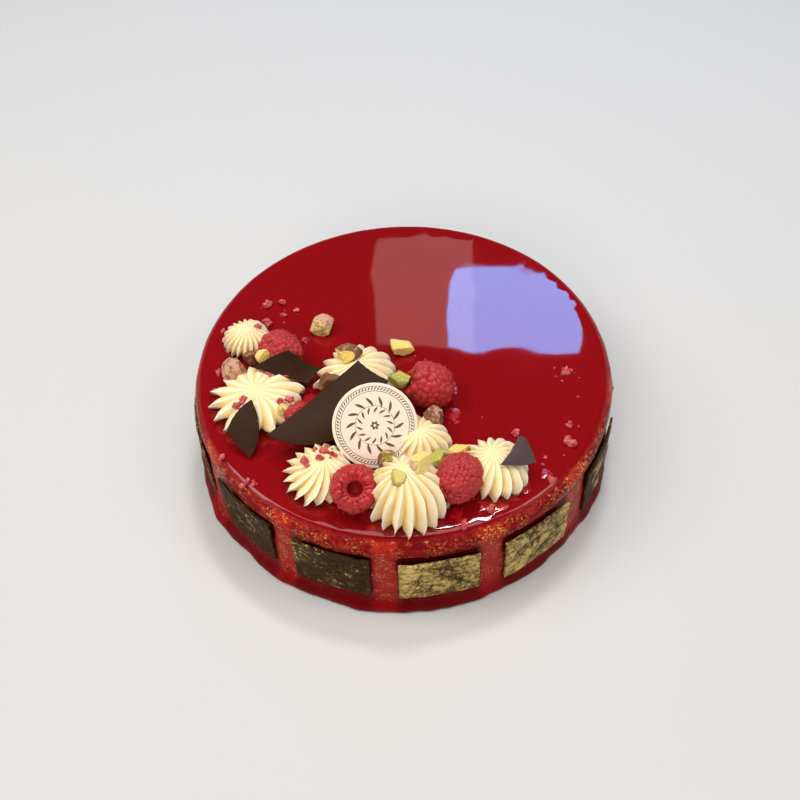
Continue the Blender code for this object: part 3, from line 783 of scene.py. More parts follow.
def berry_finish(sizes):
    """Raspberry skin: bright crowns as painted light, deep clefts as painted shade, and a dusty bloom."""
    berry = Finish("raspberry", Subsurface_Weight=0.25, Subsurface_Scale=0.003, IOR=1.42)
    berry.shader.inputs["Subsurface Radius"].default_value = (1.0, 0.25, 0.2)
    # How lit each point is painted: painted light on the crowns and hairs, painted shade in the clefts
    painted_light = berry.field("painted_light")
    tint = berry.field("tint")
    dusty = berry.field("dust")
    speckle = berry.noise(1800, 3, 0.7)
    crown = (painted_light * 1.0 + tint * 0.35 - 0.15).rise(0.0, 1.0)
    red = berry.mix(crown, sizes.deep, sizes.bright)
    haze = dusty * (0.25 + speckle.rise(0.4, 0.7) * 0.5) * painted_light
    return berry.wear(
        Base_Color=berry.mix(haze, red, sizes.dust),
        Roughness=0.24 + dusty * 0.34 + speckle * 0.12,
        Normal=berry.bump(speckle + berry.noise(700, 2), 0.25, 0.0004),
    )


def crumb_finish(sizes):
    """Freeze-dried raspberry: dry, broken and pale inside."""
    crumb = Finish("dried_raspberry", IOR=1.40, Subsurface_Weight=0.15, Subsurface_Scale=0.001)
    broken = crumb.noise(900, 4, 0.7)
    pale = crumb.noise(420, 2).rise(0.40, 0.60)
    return crumb.wear(
        Base_Color=crumb.mix(pale * (0.3 + broken * 0.7), sizes.crumb, sizes.crumb_pale),
        Roughness=0.6 + broken * 0.2,
        Normal=crumb.bump(broken, 0.8, 0.0006),
    )


def chocolate_finish(sizes):
    """Thin dark chocolate, satin with fine scuffs and crumbs, and dull where it has bloomed."""
    chocolate = Finish("dark_chocolate", IOR=1.36, Specular_IOR_Level=0.15)
    bloom = chocolate.field("bloom")
    scuffs = chocolate.noise(180, 4, 0.65, (1, 3, 1))
    specks = chocolate.cells(380).rise(0.16, 0.10) * chocolate.noise(160, 1).rise(0.60, 0.68)
    grain = chocolate.noise(2400, 2)
    dulled = (bloom * 0.85 + (scuffs - 0.5) * 0.5).rise(0.0, 1.0)
    brown = chocolate.mix(dulled, sizes.dark, sizes.bloom)
    return chocolate.wear(
        Base_Color=chocolate.mix(specks * 0.5, brown, (0.35, 0.22, 0.16)),
        Roughness=0.42 + scuffs * 0.18 + specks * 0.2,
        Normal=chocolate.bump(scuffs * 0.6 + grain * 0.25 + specks, 0.18, 0.0005),
    )


def disc_finish(sizes):
    """White chocolate printed with thin rings, a corded band and a wreath of leaves round a flower."""
    disc = Finish("white_chocolate", IOR=1.45, Subsurface_Weight=0.2, Subsurface_Scale=0.002)
    disc.shader.inputs["Subsurface Radius"].default_value = (1.0, 0.8, 0.6)
    flat = disc.node("ShaderNodeUVMap", {"uv_map": "face"})
    across, up = disc.axis("X", flat), disc.axis("Y", flat)
    radius = (across * across + up * up) ** 0.5
    turn = disc.node("ShaderNodeMath", {"operation": "ARCTAN2"}, {0: up, 1: across}) / math.tau

    def ring(at, width):
        """A printed circle at a share of the radius."""
        return abs(radius - at).rise(width, width * 0.55)

    def repeated(count, shift=0.0):
        """How far round each of some equal sectors a point lies, from -0.5 to 0.5."""
        return (turn * count + shift) % 1.0 - 0.5

    def leaves(count, at, length, width, slant, shift=0.0):
        """A ring of pointed leaves: each is where two arcs overlap."""
        along = radius - at
        aside = repeated(count, shift) * (math.tau * at / count) - along * slant
        reach = 1.0 - (along / length) * (along / length)
        return (reach * width - abs(aside)).rise(0.0, 0.012)

    from_band = radius - 0.865
    band = abs(from_band).rise(0.034, 0.028) * abs(repeated(72) + from_band * 9.0).rise(0.26, 0.20)
    flower = (0.115 + abs(repeated(6)) * -0.10 - radius).rise(-0.004, 0.008) * radius.rise(0.030, 0.040)
    ink = ring(0.915, 0.010) + ring(0.805, 0.010) + band
    ink = ink + leaves(14, 0.56, 0.135, 0.045, 0.55) + leaves(14, 0.36, 0.090, 0.034, -0.55, 0.5)
    ink = ink + ring(0.46, 0.007) + flower
    ink = ink.rise(0.15, 0.85) * disc.field("front")
    mottle = disc.noise(500, 3, 0.6)
    white = disc.mix(mottle * 0.35, sizes.white, (0.82, 0.66, 0.50))
    return disc.wear(
        Base_Color=disc.mix(ink * (0.85 + mottle * 0.15), white, sizes.print),
        Roughness=0.46 + mottle * 0.12 - ink * 0.08,
        Normal=disc.bump(mottle + ink * 0.25, 0.10, 0.0004),
    )


def nut_finish(sizes):
    """Chopped pistachio: yellow to green kernel where it is cut, wrinkled brown and pink skin elsewhere."""
    nut = Finish("pistachio", IOR=1.45, Subsurface_Weight=0.15, Subsurface_Scale=0.0015)
    skin_share = nut.field("skin")
    green = nut.field("green")
    grain = nut.noise(1300, 3, 0.6)
    patch = nut.noise(380, 3, 0.6)
    kernel = nut.mix((green * 1.1 + (patch - 0.5) * 0.9).rise(0.0, 1.0), sizes.yellow, sizes.green)
    kernel = nut.mix(grain.rise(0.30, 0.75) * 0.2 + nut.field("pale") * 0.35, kernel, (0.90, 0.80, 0.44))
    husk = nut.mix((patch + nut.field("pale") * 0.36 - 0.22).rise(0.40, 0.62), sizes.skin, sizes.pink)
    husk = nut.mix(grain.rise(0.55, 0.75) * 0.5, husk, (0.07, 0.03, 0.025))
    worn = (skin_share * 1.6 + patch * 0.9 - 0.95).rise(0.0, 0.25)
    wrinkles = nut.noise(520, 4, 0.65, (1, 1, 2.2), 0.6)
    return nut.wear(
        Base_Color=nut.mix(worn, kernel, husk),
        Roughness=0.55 + grain * 0.2,
        Normal=nut.bump(grain * 0.4 + wrinkles * worn * 1.8 + patch * 0.5, 0.8, 0.0008),
    )


def floor_finish(colour):
    floor = Finish("floor", Roughness=0.75, IOR=1.3)
    return floor.wear(Base_Color=floor.mix(floor.noise(6, 3) * 0.08, colour, (0.70, 0.69, 0.68)))


def glaze_profile(sizes):
    """(radius, height) pairs from the bottom edge, up the foot, side and shoulder, and in to the middle."""
    foot = sizes.foot_height
    profile = [(sizes.radius + sizes.foot_spread * share, foot * height) for height, share in FOOT_OUTLINE]
    side_top = sizes.height - sizes.shoulder
    for i in range(1, SIDE_STEPS + 1):
        profile.append((sizes.radius, foot + (side_top - foot) * i / SIDE_STEPS))
    for i in range(1, SHOULDER_STEPS + 1):
        angle = math.pi / 2 * i / SHOULDER_STEPS
        inset, rise = sizes.shoulder * (1 - math.cos(angle)), sizes.shoulder * math.sin(angle)
        profile.append((sizes.radius - inset, side_top + rise))
    flat = sizes.radius - sizes.shoulder
    for i in range(1, SIDE_STEPS):
        profile.append((flat * (1 - i / SIDE_STEPS), sizes.height))
    return profile


class CAKE_OT_glaze(bpy.types.Operator):
    """Turn the glazed body, with its foot of pooled glaze and a hollow under a lip above each panel"""

    bl_idname = "cake.glaze"
    bl_label = "Glazed Body"

    def execute(self, context):
        sizes = settings("glaze")
        body = turned("glaze", 320, glaze_profile(sizes))
        points = points_of(body)
        around = points * (1, 1, 0)
        around /= np.maximum(np.linalg.norm(around, axis=1), 1e-6)[:, None]
        azimuth = np.degrees(np.arctan2(points[:, 1], points[:, 0]))
        away = self.away_from_panels(azimuth)
        across = self.settle(points, around, azimuth, sizes)
        self.set_waves(points, around, across, away, sizes)
        move_points(body, points)
        # Glaze between the panels takes painted light, glaze behind them painted shade
        write_field(body, "between", np.clip((away - PANEL_HALF_ANGLE) / BETWEEN_BLEND, 0, 1))
        finish_piece(body, glaze_finish(sizes), "red_mirror_glaze", "glazed_cake")
        return {"FINISHED"}

    def settle(self, points, around, azimuth, sizes):
        """Runs the foot out unevenly, and makes the shoulder square at the back and soft at the front.

        Returns how far each point lies from both sides of the shoulder: 1 halfway across it, 0 off it.
        """
        height, shoulder = points[:, 2], sizes.shoulder
        distance = np.linalg.norm(points[:, :2], axis=1)
        spread = np.interp(azimuth, *np.array(FOOT_SPREADS).T, period=360) / sizes.foot_spread - 1
        distance = distance + (distance - sizes.radius) * spread * (height < sizes.foot_height)
        distance = distance + np.clip(points[:, 1] / sizes.radius, 0, 1) * distance * BACK_FULLNESS
        squareness = np.clip(0.6 + 0.6 * points[:, 1] / sizes.radius, 0, 1)
        corner_x = np.clip((distance - sizes.radius + shoulder) / shoulder, 0, 1)
        corner_z = np.clip((height - sizes.height + shoulder) / shoulder, 0, 1)
        on_shoulder = height > sizes.height - shoulder - 1e-6
        on_shoulder &= distance > sizes.radius - shoulder + 1e-6
        fuller = 1.75 - 1.25 * squareness
        distance = np.where(on_shoulder, distance + shoulder * (corner_x**fuller - corner_x), distance)
        points[:, :2] = around[:, :2] * distance[:, None]
        points[:, 2] = np.where(on_shoulder, sizes.height - shoulder * (1 - corner_z**fuller), height)
        return np.where(on_shoulder, corner_x * (1 - corner_x) * 4, 0)

    def set_waves(self, points, around, across, away, sizes):
        """Sets the waves and streaks of the glaze, and the hollow with its lip above each panel."""
        height = points[:, 2].copy()
        edge = around * sizes.radius
        foot = np.clip(1 - height / sizes.foot_height, 0, 1) ** 0.5
        side = np.clip((sizes.height - height) / 0.004, 0, 1)
        streak = edge.copy()
        streak[:, 2] = height * 0.45
        lumps = ripples(edge, 0.011, 3) * foot * sizes.foot_wave
        slump = ripples(streak, 0.016, 5) * side * 0.00035 + ripples(streak, 0.004, 6) * side * 0.00010
        swell = ripples(points, 0.05, 9, 1) * 0.00006 + ripples(points, 0.016, 10, 1) * 0.000055
        wavy = ripples(edge, 0.007, 12, 2)
        recess = np.clip((height - sizes.recess_bottom) / 0.003, 0, 1)
        recess *= np.clip((sizes.recess_top + wavy * 0.0016 - height) / 0.0022, 0, 1)
        recess *= np.clip(PANEL_HALF_ANGLE + 1 - away, 0, 1)
        lip = np.exp(-(((height - sizes.lip_height) / 0.0026) ** 2)) * (0.6 + wavy * 0.4)
        points += around * (lumps + slump + lip * sizes.lip - recess * sizes.recess)[:, None]
        points[:, 2] += swell * (1 - side) + across * ripples(edge, 0.0042, 14, 2) * 0.00012

    def away_from_panels(self, azimuth):
        """Degrees round the cake from the middle of the nearest panel."""
        panels = [middle_of(f"chocolate_panel_{number:02d}") for number in range(1, PANEL_COUNT + 1)]
        turns = [math.degrees(math.atan2(middle.y, middle.x)) for middle in panels]
        return np.min([np.abs((azimuth - turn + 180) % 360 - 180) for turn in turns], axis=0)


class CAKE_OT_panels(bpy.types.Operator):
    """Cut the thin chocolate panels, crumple their faces and stand them round the side"""

    bl_idname = "cake.panels"
    bl_label = "Chocolate Panels"

    def execute(self, context):
        sizes = settings("panels")
        material = gilded_finish(sizes)
        for number in range(1, PANEL_COUNT + 1):
            self.make_panel(number, sizes, material)
        return {"FINISHED"}

    def make_panel(self, number, sizes, material):
        node = f"chocolate_panel_{number:02d}"
        centre = middle_of(node)
        turn = math.atan2(centre.y, centre.x) + math.pi / 2
        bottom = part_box(node)[0].z
        rng = random.Random(number)
        panel = sheet(f"side_panel_{number:02d}", 96, 76)
        with editing(panel):
            bpy.ops.transform.resize(value=(sizes.width, sizes.height, 1))
            bpy.ops.transform.rotate(value=-math.pi / 2, orient_axis="X", center_override=(0, 0, 0))
        points = points_of(panel)
        if points[:, 2].std() < 1e-6:
            raise RuntimeError("the panel wasn't turned upright")
        relief, groove = crumpled(points[:, 0], points[:, 2], number)
        flat = np.stack([points[:, 0], points[:, 2], np.full(len(points), number * 4.1)], axis=1)
        relief += ripples(flat, 0.0022, number, 3) * 0.10
        edge_x = 1 - np.abs(points[:, 0]) / (sizes.width / 2)
        edge_z = 1 - np.abs(points[:, 2]) / (sizes.height / 2)
        ragged = ripples(flat, 0.003, number + 40, 2) * 0.00022
        near_edge = np.clip(1 - np.minimum(edge_x, edge_z) / 0.04, 0, 1)
        points[:, 0] += ragged * near_edge * (edge_x < 0.04)
        points[:, 2] += ragged * near_edge * (edge_z < 0.04)
        bend = ripples(flat, 0.03, number + 60, 1) * 0.0004
        points[:, 1] += points[:, 0] ** 2 / (2 * sizes.curve) - relief * sizes.relief - bend
        points[:, 2] += sizes.height / 2
        move_points(panel, points)
        write_field(panel, "crease", relief)
        write_field(panel, "groove", groove)
        write_field(panel, "gilt", np.full(len(points), self.gilding(number, rng)))
        apply_modifier(panel, "SOLIDIFY", thickness=sizes.thickness, offset=-1)
        crisp = {"segments": 2, "limit_method": "ANGLE", "angle_limit": math.radians(60)}
        apply_modifier(panel, "BEVEL", width=0.00012, **crisp)
        with editing(panel):
            bpy.ops.mesh.normals_make_consistent(inside=False)
        reach = sizes.reach + np.percentile(points_of(panel)[:, 1], 12)
        place = Matrix.Rotation(turn, 4, "Z") @ Matrix.Translation((0, -reach, bottom + 0.0002))
        bake_place(panel, place @ Matrix.Rotation(math.radians(1.5), 4, "X"))
        finish_piece(panel, material, "gold_dusted_chocolate", node, angle=45)

    def gilding(self, number, rng):
        """How much gold a panel took: as the photo shows on five of them, and by chance on the rest."""
        return {1: 0.15, 2: 0.22, 3: 0.95, 4: 0.78, 5: 0.35}.get(number, rng.uniform(0.2, 0.8))


def crumpled(across, up, seed):
    """Height of a crumpled sheet, from 0 to 1, and how near each point lies to the bottom of a crease."""
    rng = random.Random(seed * 7 + 3)
    height, groove = np.zeros(len(across)), np.zeros(len(across))
    flat = np.stack([across, up, np.full(len(across), seed * 1.7)], axis=1)
    sway = ripples(flat, 0.007, seed, 2) * 0.0013
    for _ in range(26):
        turn = rng.uniform(0, math.pi)
        start_x, start_z = rng.uniform(-0.016, 0.016), rng.uniform(-0.012, 0.012)
        aside = (across - start_x) * math.cos(turn) + (up - start_z) * math.sin(turn) + sway
        along = (up - start_z) * math.cos(turn) - (across - start_x) * math.sin(turn)
        length = rng.uniform(0.004, 0.014)
        fade = np.clip(1.4 - np.abs(along) / length, 0, 1)
        fold = np.clip(1 - np.abs(aside) / rng.uniform(0.0018, 0.0060), 0, 1) * fade
        if rng.random() < 0.55:
            height += fold * rng.uniform(0.3, 0.7)
        else:
            height -= fold * rng.uniform(0.3, 0.8)
            groove = np.maximum(groove, np.exp(-((aside / 0.00030) ** 2)) * fade)
    return (height - height.min()) / (height.max() - height.min()), groove


class CAKE_OT_rosettes(bpy.types.Operator):
    """Pipe the cream rosettes: turned domes whose sides are drawn into twisted star ridges"""

    bl_idname = "cake.rosettes"
    bl_label = "Cream Rosettes"

    def execute(self, context):
        sizes = settings("cream")
        material = cream_finish(sizes)
        for number, spec in enumerate(ROSETTES):
            self.pipe(number, sizes, material, *spec)
        return {"FINISHED"}

    def pipe(self, number, sizes, material, node, place, radius, height, ridges, turn, lean, ragged):
        base = math.sin(math.radians(ROSETTE_RINGS[0]))
        profile = []
        for degrees in ROSETTE_RINGS:
            reach = math.cos(math.radians(degrees)) ** 1.2
            rise = (math.sin(math.radians(degrees)) - base) / (1 - base)
            profile.append((radius * reach, rise * height))
        piece = turned(f"piped_{node}", ridges * RIDGE_STEPS, profile)
        points = points_of(piece)
        rise = np.clip(points[:, 2] / height, 0, 1)
        distance = np.hypot(points[:, 0], points[:, 1])
        turned_by = np.arctan2(points[:, 1], points[:, 0]) / math.tau
        column = np.round(turned_by * ridges * RIDGE_STEPS).astype(int)
        ridge = (column // RIDGE_STEPS) % ridges
        crest = CREST_STEP / RIDGE_STEPS
        within = column % RIDGE_STEPS / RIDGE_STEPS
        within = within - 0.05 * np.sin(math.tau * (within - crest))
        phase = ridge + within
        within = within % 1.0
        gentle = 1 - np.clip(within / crest, 0, 1) ** 0.62
        steep = np.clip((within - crest) / (1 - crest), 0, 1) ** 0.85
        valley = np.where(within < crest, gentle, steep)
        tuck = np.clip(1 - rise / 0.30, 0, 1)
        valley = valley ** (1 / (1 + (0.5 + 12 * ragged) * tuck))
        rng = random.Random(number + 11)
        lengths = np.array([1 + rng.uniform(-ragged, ragged) for _ in range(ridges)])
        depth = (0.29 - 0.12 * rise + 0.08 * tuck) * np.clip((1 - rise) / 0.03, 0.25, 1)
        # The crest line raises a crisp bead and is also the painted highlight of the finish
        line = np.exp(-(((within - crest) / 0.045) ** 2)) * np.clip(distance / radius * 3, 0, 1)
        line *= np.clip(rise / 0.22, 0.15, 1)
        bead = line * sizes.crest_sharpness
        uneven = (lengths[ridge] - 1) * (1 - rise) * (1 - valley)
        reach = distance * (1 - depth * valley) * (1 + uneven) + bead
        turns = phase * math.tau / ridges
        wobble = ripples(np.stack([np.cos(turns), np.sin(turns), rise * 2], axis=1), 0.5, number, 1)
        turns += turn * rise * 1.15 - wobble * 0.06 + 0.02 * tuck * (1 - valley)
        points[:, 0] = np.cos(turns) * reach
        points[:, 1] = np.sin(turns) * reach
        points[:, 2] -= (1 - valley) * tuck * 0.0004 - tuck * 0.0003
        points[:, 0] += place[0] + lean[0] * rise**2
        points[:, 1] += place[1] + lean[1] * rise**2
        points[:, 2] = np.maximum(points[:, 2], 0.0) + settings("glaze").height + 0.0001
        move_points(piece, points)
        roughen(piece, 0.00016, 0.0045, number, 2)
        roughen(piece, 0.00005, 0.0011, number + 30, 2)
        # The ridge field carries painted light and shade, the crest field a painted highlight
        write_field(piece, "ridge", 1 - valley)
        write_field(piece, "crest", line)
        finish_piece(piece, material, "whipped_cream", node)


def berry_radius(diameter, latitude):
    return diameter / 2 * math.cos(latitude) ** 0.8


def berry_height(length, latitude):
    return length * (0.36 + 0.62 * math.sin(latitude))


def outward(turn, latitude):
    """The direction at a turn round the berry and a latitude."""
    level = math.cos(latitude)
    return Vector((math.cos(turn) * level, math.sin(turn) * level, math.sin(latitude)))


def seated(turn, radius, height):
    """The point at a turn round the berry, a distance from its axis and a height."""
    return Vector((math.cos(turn) * radius, math.sin(turn) * radius, height))


def drupelet_rows(diameter, length, width):
    """(radius, height, latitude) of each ring of drupelets, from the rim of the wide end to the tip."""
    rows = []
    latitude = RIM_LATITUDE
    while latitude < 1.42:
        rows.append((berry_radius(diameter, latitude), berry_height(length, latitude), latitude))
        latitude += 0.80 * width / (diameter / 2 * 0.55 + length * 0.31)
    return rows + [(0.0, length * 0.98, math.pi / 2)]


class CAKE_OT_raspberries(bpy.types.Operator):
    """Build the raspberries from packed drupelets round a core, with fine hairs"""

    bl_idname = "cake.raspberries"
    bl_label = "Raspberries"

    def execute(self, context):
        sizes = settings("berries")
        material = berry_finish(sizes)
        for number, spec in enumerate(RASPBERRIES):
            self.grow(number, sizes, material, *spec)
        return {"FINISHED"}

    def grow(self, number, sizes, material, node, diameter, length, wide_end, hollow, width, dust):
        rng = random.Random(number + 70)
        core = self.make_core(f"{node}_core", diameter, length, hollow)
        drupelets = self.make_drupelets(f"{node}_drupelets", width, diameter, length, hollow, rng)
        hairs = self.make_hairs(f"{node}_hairs", sizes.hairs, diameter, length, rng)
        berry = join(f"ripe_{node}", [drupelets, core, hairs])
        write_field(berry, "dust", np.full(len(berry.data.vertices), dust))
        roughen(berry, diameter * 0.018, diameter * 0.30, number, 2)
        bake_place(berry, facing(-Vector(wide_end)) @ Matrix.Translation((0, 0, -length * 0.45)))
        move_to_node(berry, node)
        finish_piece(berry, material, "raspberry", node)

    def make_core(self, name, diameter, length, hollow):
        profile = []
        if hollow:
            bore = diameter / 2 * BORE_SHARE
            mouth = berry_height(length, RIM_LATITUDE) - 0.0002
            floor = berry_height(length, RIM_LATITUDE) + 0.36 * length
            profile += [(bore * 0.3, floor), (bore * 0.75, floor - 0.0006), (bore * 0.92, floor - 0.002)]
            profile += [(bore * 0.98, (floor + mouth) / 2)]
            profile += [(bore * 1.05, mouth + 0.001), (bore * 1.25, mouth)]
        for i in range(15):
            latitude = RIM_LATITUDE + (1.45 - RIM_LATITUDE) * i / 14
            radius = berry_radius(diameter * CORE_SHARE, latitude)
            profile.append((radius, length * (0.36 + 0.56 * math.sin(latitude))))
        core = turned(name, 40, profile)
        heights = points_of(core)[:, 2]
        # Painted light: an open hollow's wall lighter, a closed core dark as painted shade in the gaps
        write_field(core, "painted_light", np.full(len(heights), 0.60 if hollow else 0.15))
        write_field(core, "tint", np.full(len(heights), 0.3))
        return core

    def make_drupelets(self, name, width, diameter, length, hollow, rng):
        ball = {"segments": 16, "ring_count": 10, "radius": 1}
        template = added("drupelet", bpy.ops.mesh.primitive_uv_sphere_add, **ball)
        shape = points_of(template)
        # Painted light on the top of each drupelet, painted shade round its base
        write_field(template, "painted_light", np.clip(shape[:, 2] * 0.6 + 0.45, 0, 1))
        matrices, tints = [], []
        for row, (radius, height, latitude) in enumerate(drupelet_rows(diameter, length, width)):
            count = max(3, round(math.tau * radius / (width * 0.93)))
            if radius < width * 0.4:
                count = 1
            taper = 0.85 + 0.15 * min(1, radius / (diameter * 0.4))
            for i in range(count):
                turn = math.tau * (i + 0.5 * (row % 2) + rng.uniform(-0.24, 0.24)) / count
                size = width * 0.58 * rng.uniform(0.82, 1.20) * taper
                out = outward(turn, latitude)
                sway = rng.uniform(-0.26, 0.26) * width
                seat = seated(turn, radius, height + sway) - out * size * 0.80
                stretch = Matrix.Diagonal((size * 1.20, size * 1.20, size * rng.uniform(1.02, 1.16), 1))
                matrices.append(Matrix.Translation(seat) @ facing(out) @ stretch)
                tints.append(rng.uniform(0, 1))
        if hollow:
            bore, brim = diameter / 2 * BORE_SHARE, diameter / 2 * 0.80
            middle = (bore + brim) / 2 + 0.0004
            height = berry_height(length, RIM_LATITUDE) + 0.0006
            width_each = middle * math.pi / MOUTH_DRUPELETS * 1.08
            for i in range(MOUTH_DRUPELETS):
                turn = math.tau * (i + rng.uniform(-0.1, 0.1)) / MOUTH_DRUPELETS
                reach = (brim - bore) / 2 * rng.uniform(1.0, 1.15)
                place = Matrix.Translation(seated(turn, middle, height)) @ Matrix.Rotation(turn, 4, "Z")
                stretch = Matrix.Diagonal((reach, width_each, 0.0013, 1))
                matrices.append(place @ Matrix.Rotation(math.pi, 4, "X") @ stretch)
                tints.append(rng.uniform(0.2, 1))
        return copies(name, template, matrices, (("tint", tints),))

    def make_hairs(self, name, count, diameter, length, rng):
        hair = {"vertices": 4, "radius1": 0.00006, "radius2": 0.00002, "depth": 0.0024}
        template = added("hair", bpy.ops.mesh.primitive_cone_add, **hair)
        with editing(template):
            bpy.ops.transform.translate(value=(0, 0, 0.0009))
            bpy.ops.mesh.subdivide(number_cuts=2)
        shape = points_of(template)
        shape[:, 0] += (shape[:, 2] / 0.002) ** 2 * 0.0005
        move_points(template, shape)
        # Hairs are painted fully lit
        write_field(template, "painted_light", np.ones(len(shape)))
        matrices = []
        for _ in range(max(1, count)):
            latitude, turn = rng.uniform(-0.6, 1.35), rng.uniform(0, math.tau)
            out = outward(turn, latitude)
            seat = seated(turn, berry_radius(diameter, latitude), berry_height(length, latitude))
            lean = Vector([rng.uniform(-0.7, 0.7) for _ in range(3)])
            spin = Matrix.Rotation(rng.uniform(0, math.tau), 4, "Z")
            matrices.append(Matrix.Translation(seat - out * 0.0004) @ facing(out + lean) @ spin)
        return copies(name, template, matrices, (("tint", [1.0] * len(matrices)),))


def surface_height(trees, x, y, lowest):
    """The highest surface under a point, or the given level where there is none."""
    level = lowest
    for tree in trees:
        hit = tree.ray_cast(Vector((x, y, 0.2)), Vector((0, 0, -1)))[0]
        if hit is not None:
            level = max(level, hit.z)
    return level


class CAKE_OT_crumbs(bpy.types.Operator):
    """Scatter the crumbs of freeze-dried raspberry on the glaze and the cream"""

    bl_idname = "cake.crumbs"
    bl_label = "Berry Crumbs"

    def execute(self, context):
        rng = random.Random(5)
        context.view_layer.update()
        graph = context.evaluated_depsgraph_get()
        trees = [BVHTree.FromObject(bpy.data.objects[f"piped_{spec[0]}"], graph) for spec in ROSETTES]
        top = settings("glaze").height
        pieces = []
        for (x, y), size in CRUMBS:
            spread = size * 0.24
            for _ in range(3 if size > 0.0035 else 2):
                at_x, at_y = x + rng.uniform(-spread, spread), y + rng.uniform(-spread, spread)
                half = size * rng.uniform(0.26, 0.40)
                level = surface_height(trees, at_x, at_y, top) + half * rng.uniform(0.3, 0.7)
                pieces.append(self.make_lump(len(pieces), (at_x, at_y, level), half, rng))
        for _ in range(26):
            (x, y), size = rng.choice(CRUMBS)
            angle, away = rng.uniform(0, math.tau), size * rng.uniform(0.6, 1.3)
            at_x, at_y = x + math.cos(angle) * away, y + math.sin(angle) * away
            half = rng.uniform(0.00025, 0.0006)
            level = surface_height(trees, at_x, at_y, top) + half * 0.4
            pieces.append(self.make_lump(len(pieces), (at_x, at_y, level), half, rng))
        finish_piece(join("berry_crumbs", pieces), crumb_finish(settings("berries")), "raspberry", angle=30)
        return {"FINISHED"}

    def make_lump(self, number, centre, half, rng):
        ball = {"subdivisions": 3 if half > 0.0007 else 2, "radius": half}
        lump = added(f"lump_{number}", bpy.ops.mesh.primitive_ico_sphere_add, **ball)
        stretch = (rng.uniform(0.9, 1.25), rng.uniform(0.75, 1.0), rng.uniform(0.65, 0.9))
        turn = rng.uniform(0, math.pi)
        with editing(lump):
            bpy.ops.transform.resize(value=stretch)
            bpy.ops.transform.rotate(value=turn, orient_axis="Z", center_override=(0, 0, 0))
        for _ in range(3):
            direction = Vector([rng.uniform(-1, 1) for _ in range(3)]).normalized()
            cut_off(lump, direction, half * 0.5)
        roughen(lump, half * 0.40, half * 0.9, number, 3)
        bake_place(lump, Matrix.Translation(centre))
        return lump


class CAKE_OT_drops(bpy.types.Operator):
    """Let thin patches and small beads of juice settle on the glaze round the berries and crumbs"""

    bl_idname = "cake.drops"
    bl_label = "Juice"

    def execute(self, context):
        top = settings("glaze").height
        context.view_layer.update()
        tree = BVHTree.FromObject(bpy.data.objects["glaze"], context.evaluated_depsgraph_get())
        pieces = [self.make_patch(number, tree, top, *patch) for number, patch in enumerate(JUICE)]
        pieces += [self.make_bead(number, top, *bead) for number, bead in enumerate(BEADS)]
        finish_piece(join("juice", pieces), bpy.data.materials["red_mirror_glaze"], "red_mirror_glaze")
        return {"FINISHED"}

    def make_patch(self, number, tree, top, place, half_width, half_depth):
        """A gently rippled film, above the glaze in the middle and sunk below it round the edge."""
        film = sheet(f"film_{number}", 56, 56, size=2)
        points = points_of(film)
        inward = np.clip(1 - np.hypot(points[:, 0], points[:, 1]), 0, 1)
        points *= (half_width * 1.25, half_depth * 1.25, 1)
        points += (*place, 0)
        waves = ripples(points, 0.0028, number, 2) * 0.00008
        waves += ripples(points, 0.0011, number + 20, 1) * 0.00002
        glaze = np.array([surface_height([tree], x, y, top - 0.001) for x, y in points[:, :2]])
        points[:, 2] = glaze + waves + inward * 0.00022 - 0.00008
        move_points(film, points)
        apply_modifier(film, "SOLIDIFY", thickness=0.0006, offset=-1)
        return film

    def make_bead(self, number, top, place, size):
        ball = {"segments": 24, "ring_count": 16, "radius": size / 2}
        bead = added(f"bead_{number}", bpy.ops.mesh.primitive_uv_sphere_add, **ball)
        with editing(bead):
            bpy.ops.transform.resize(value=(1.2, 1.0, 0.5))
        bake_place(bead, Matrix.Translation((*place, top)))
        return bead


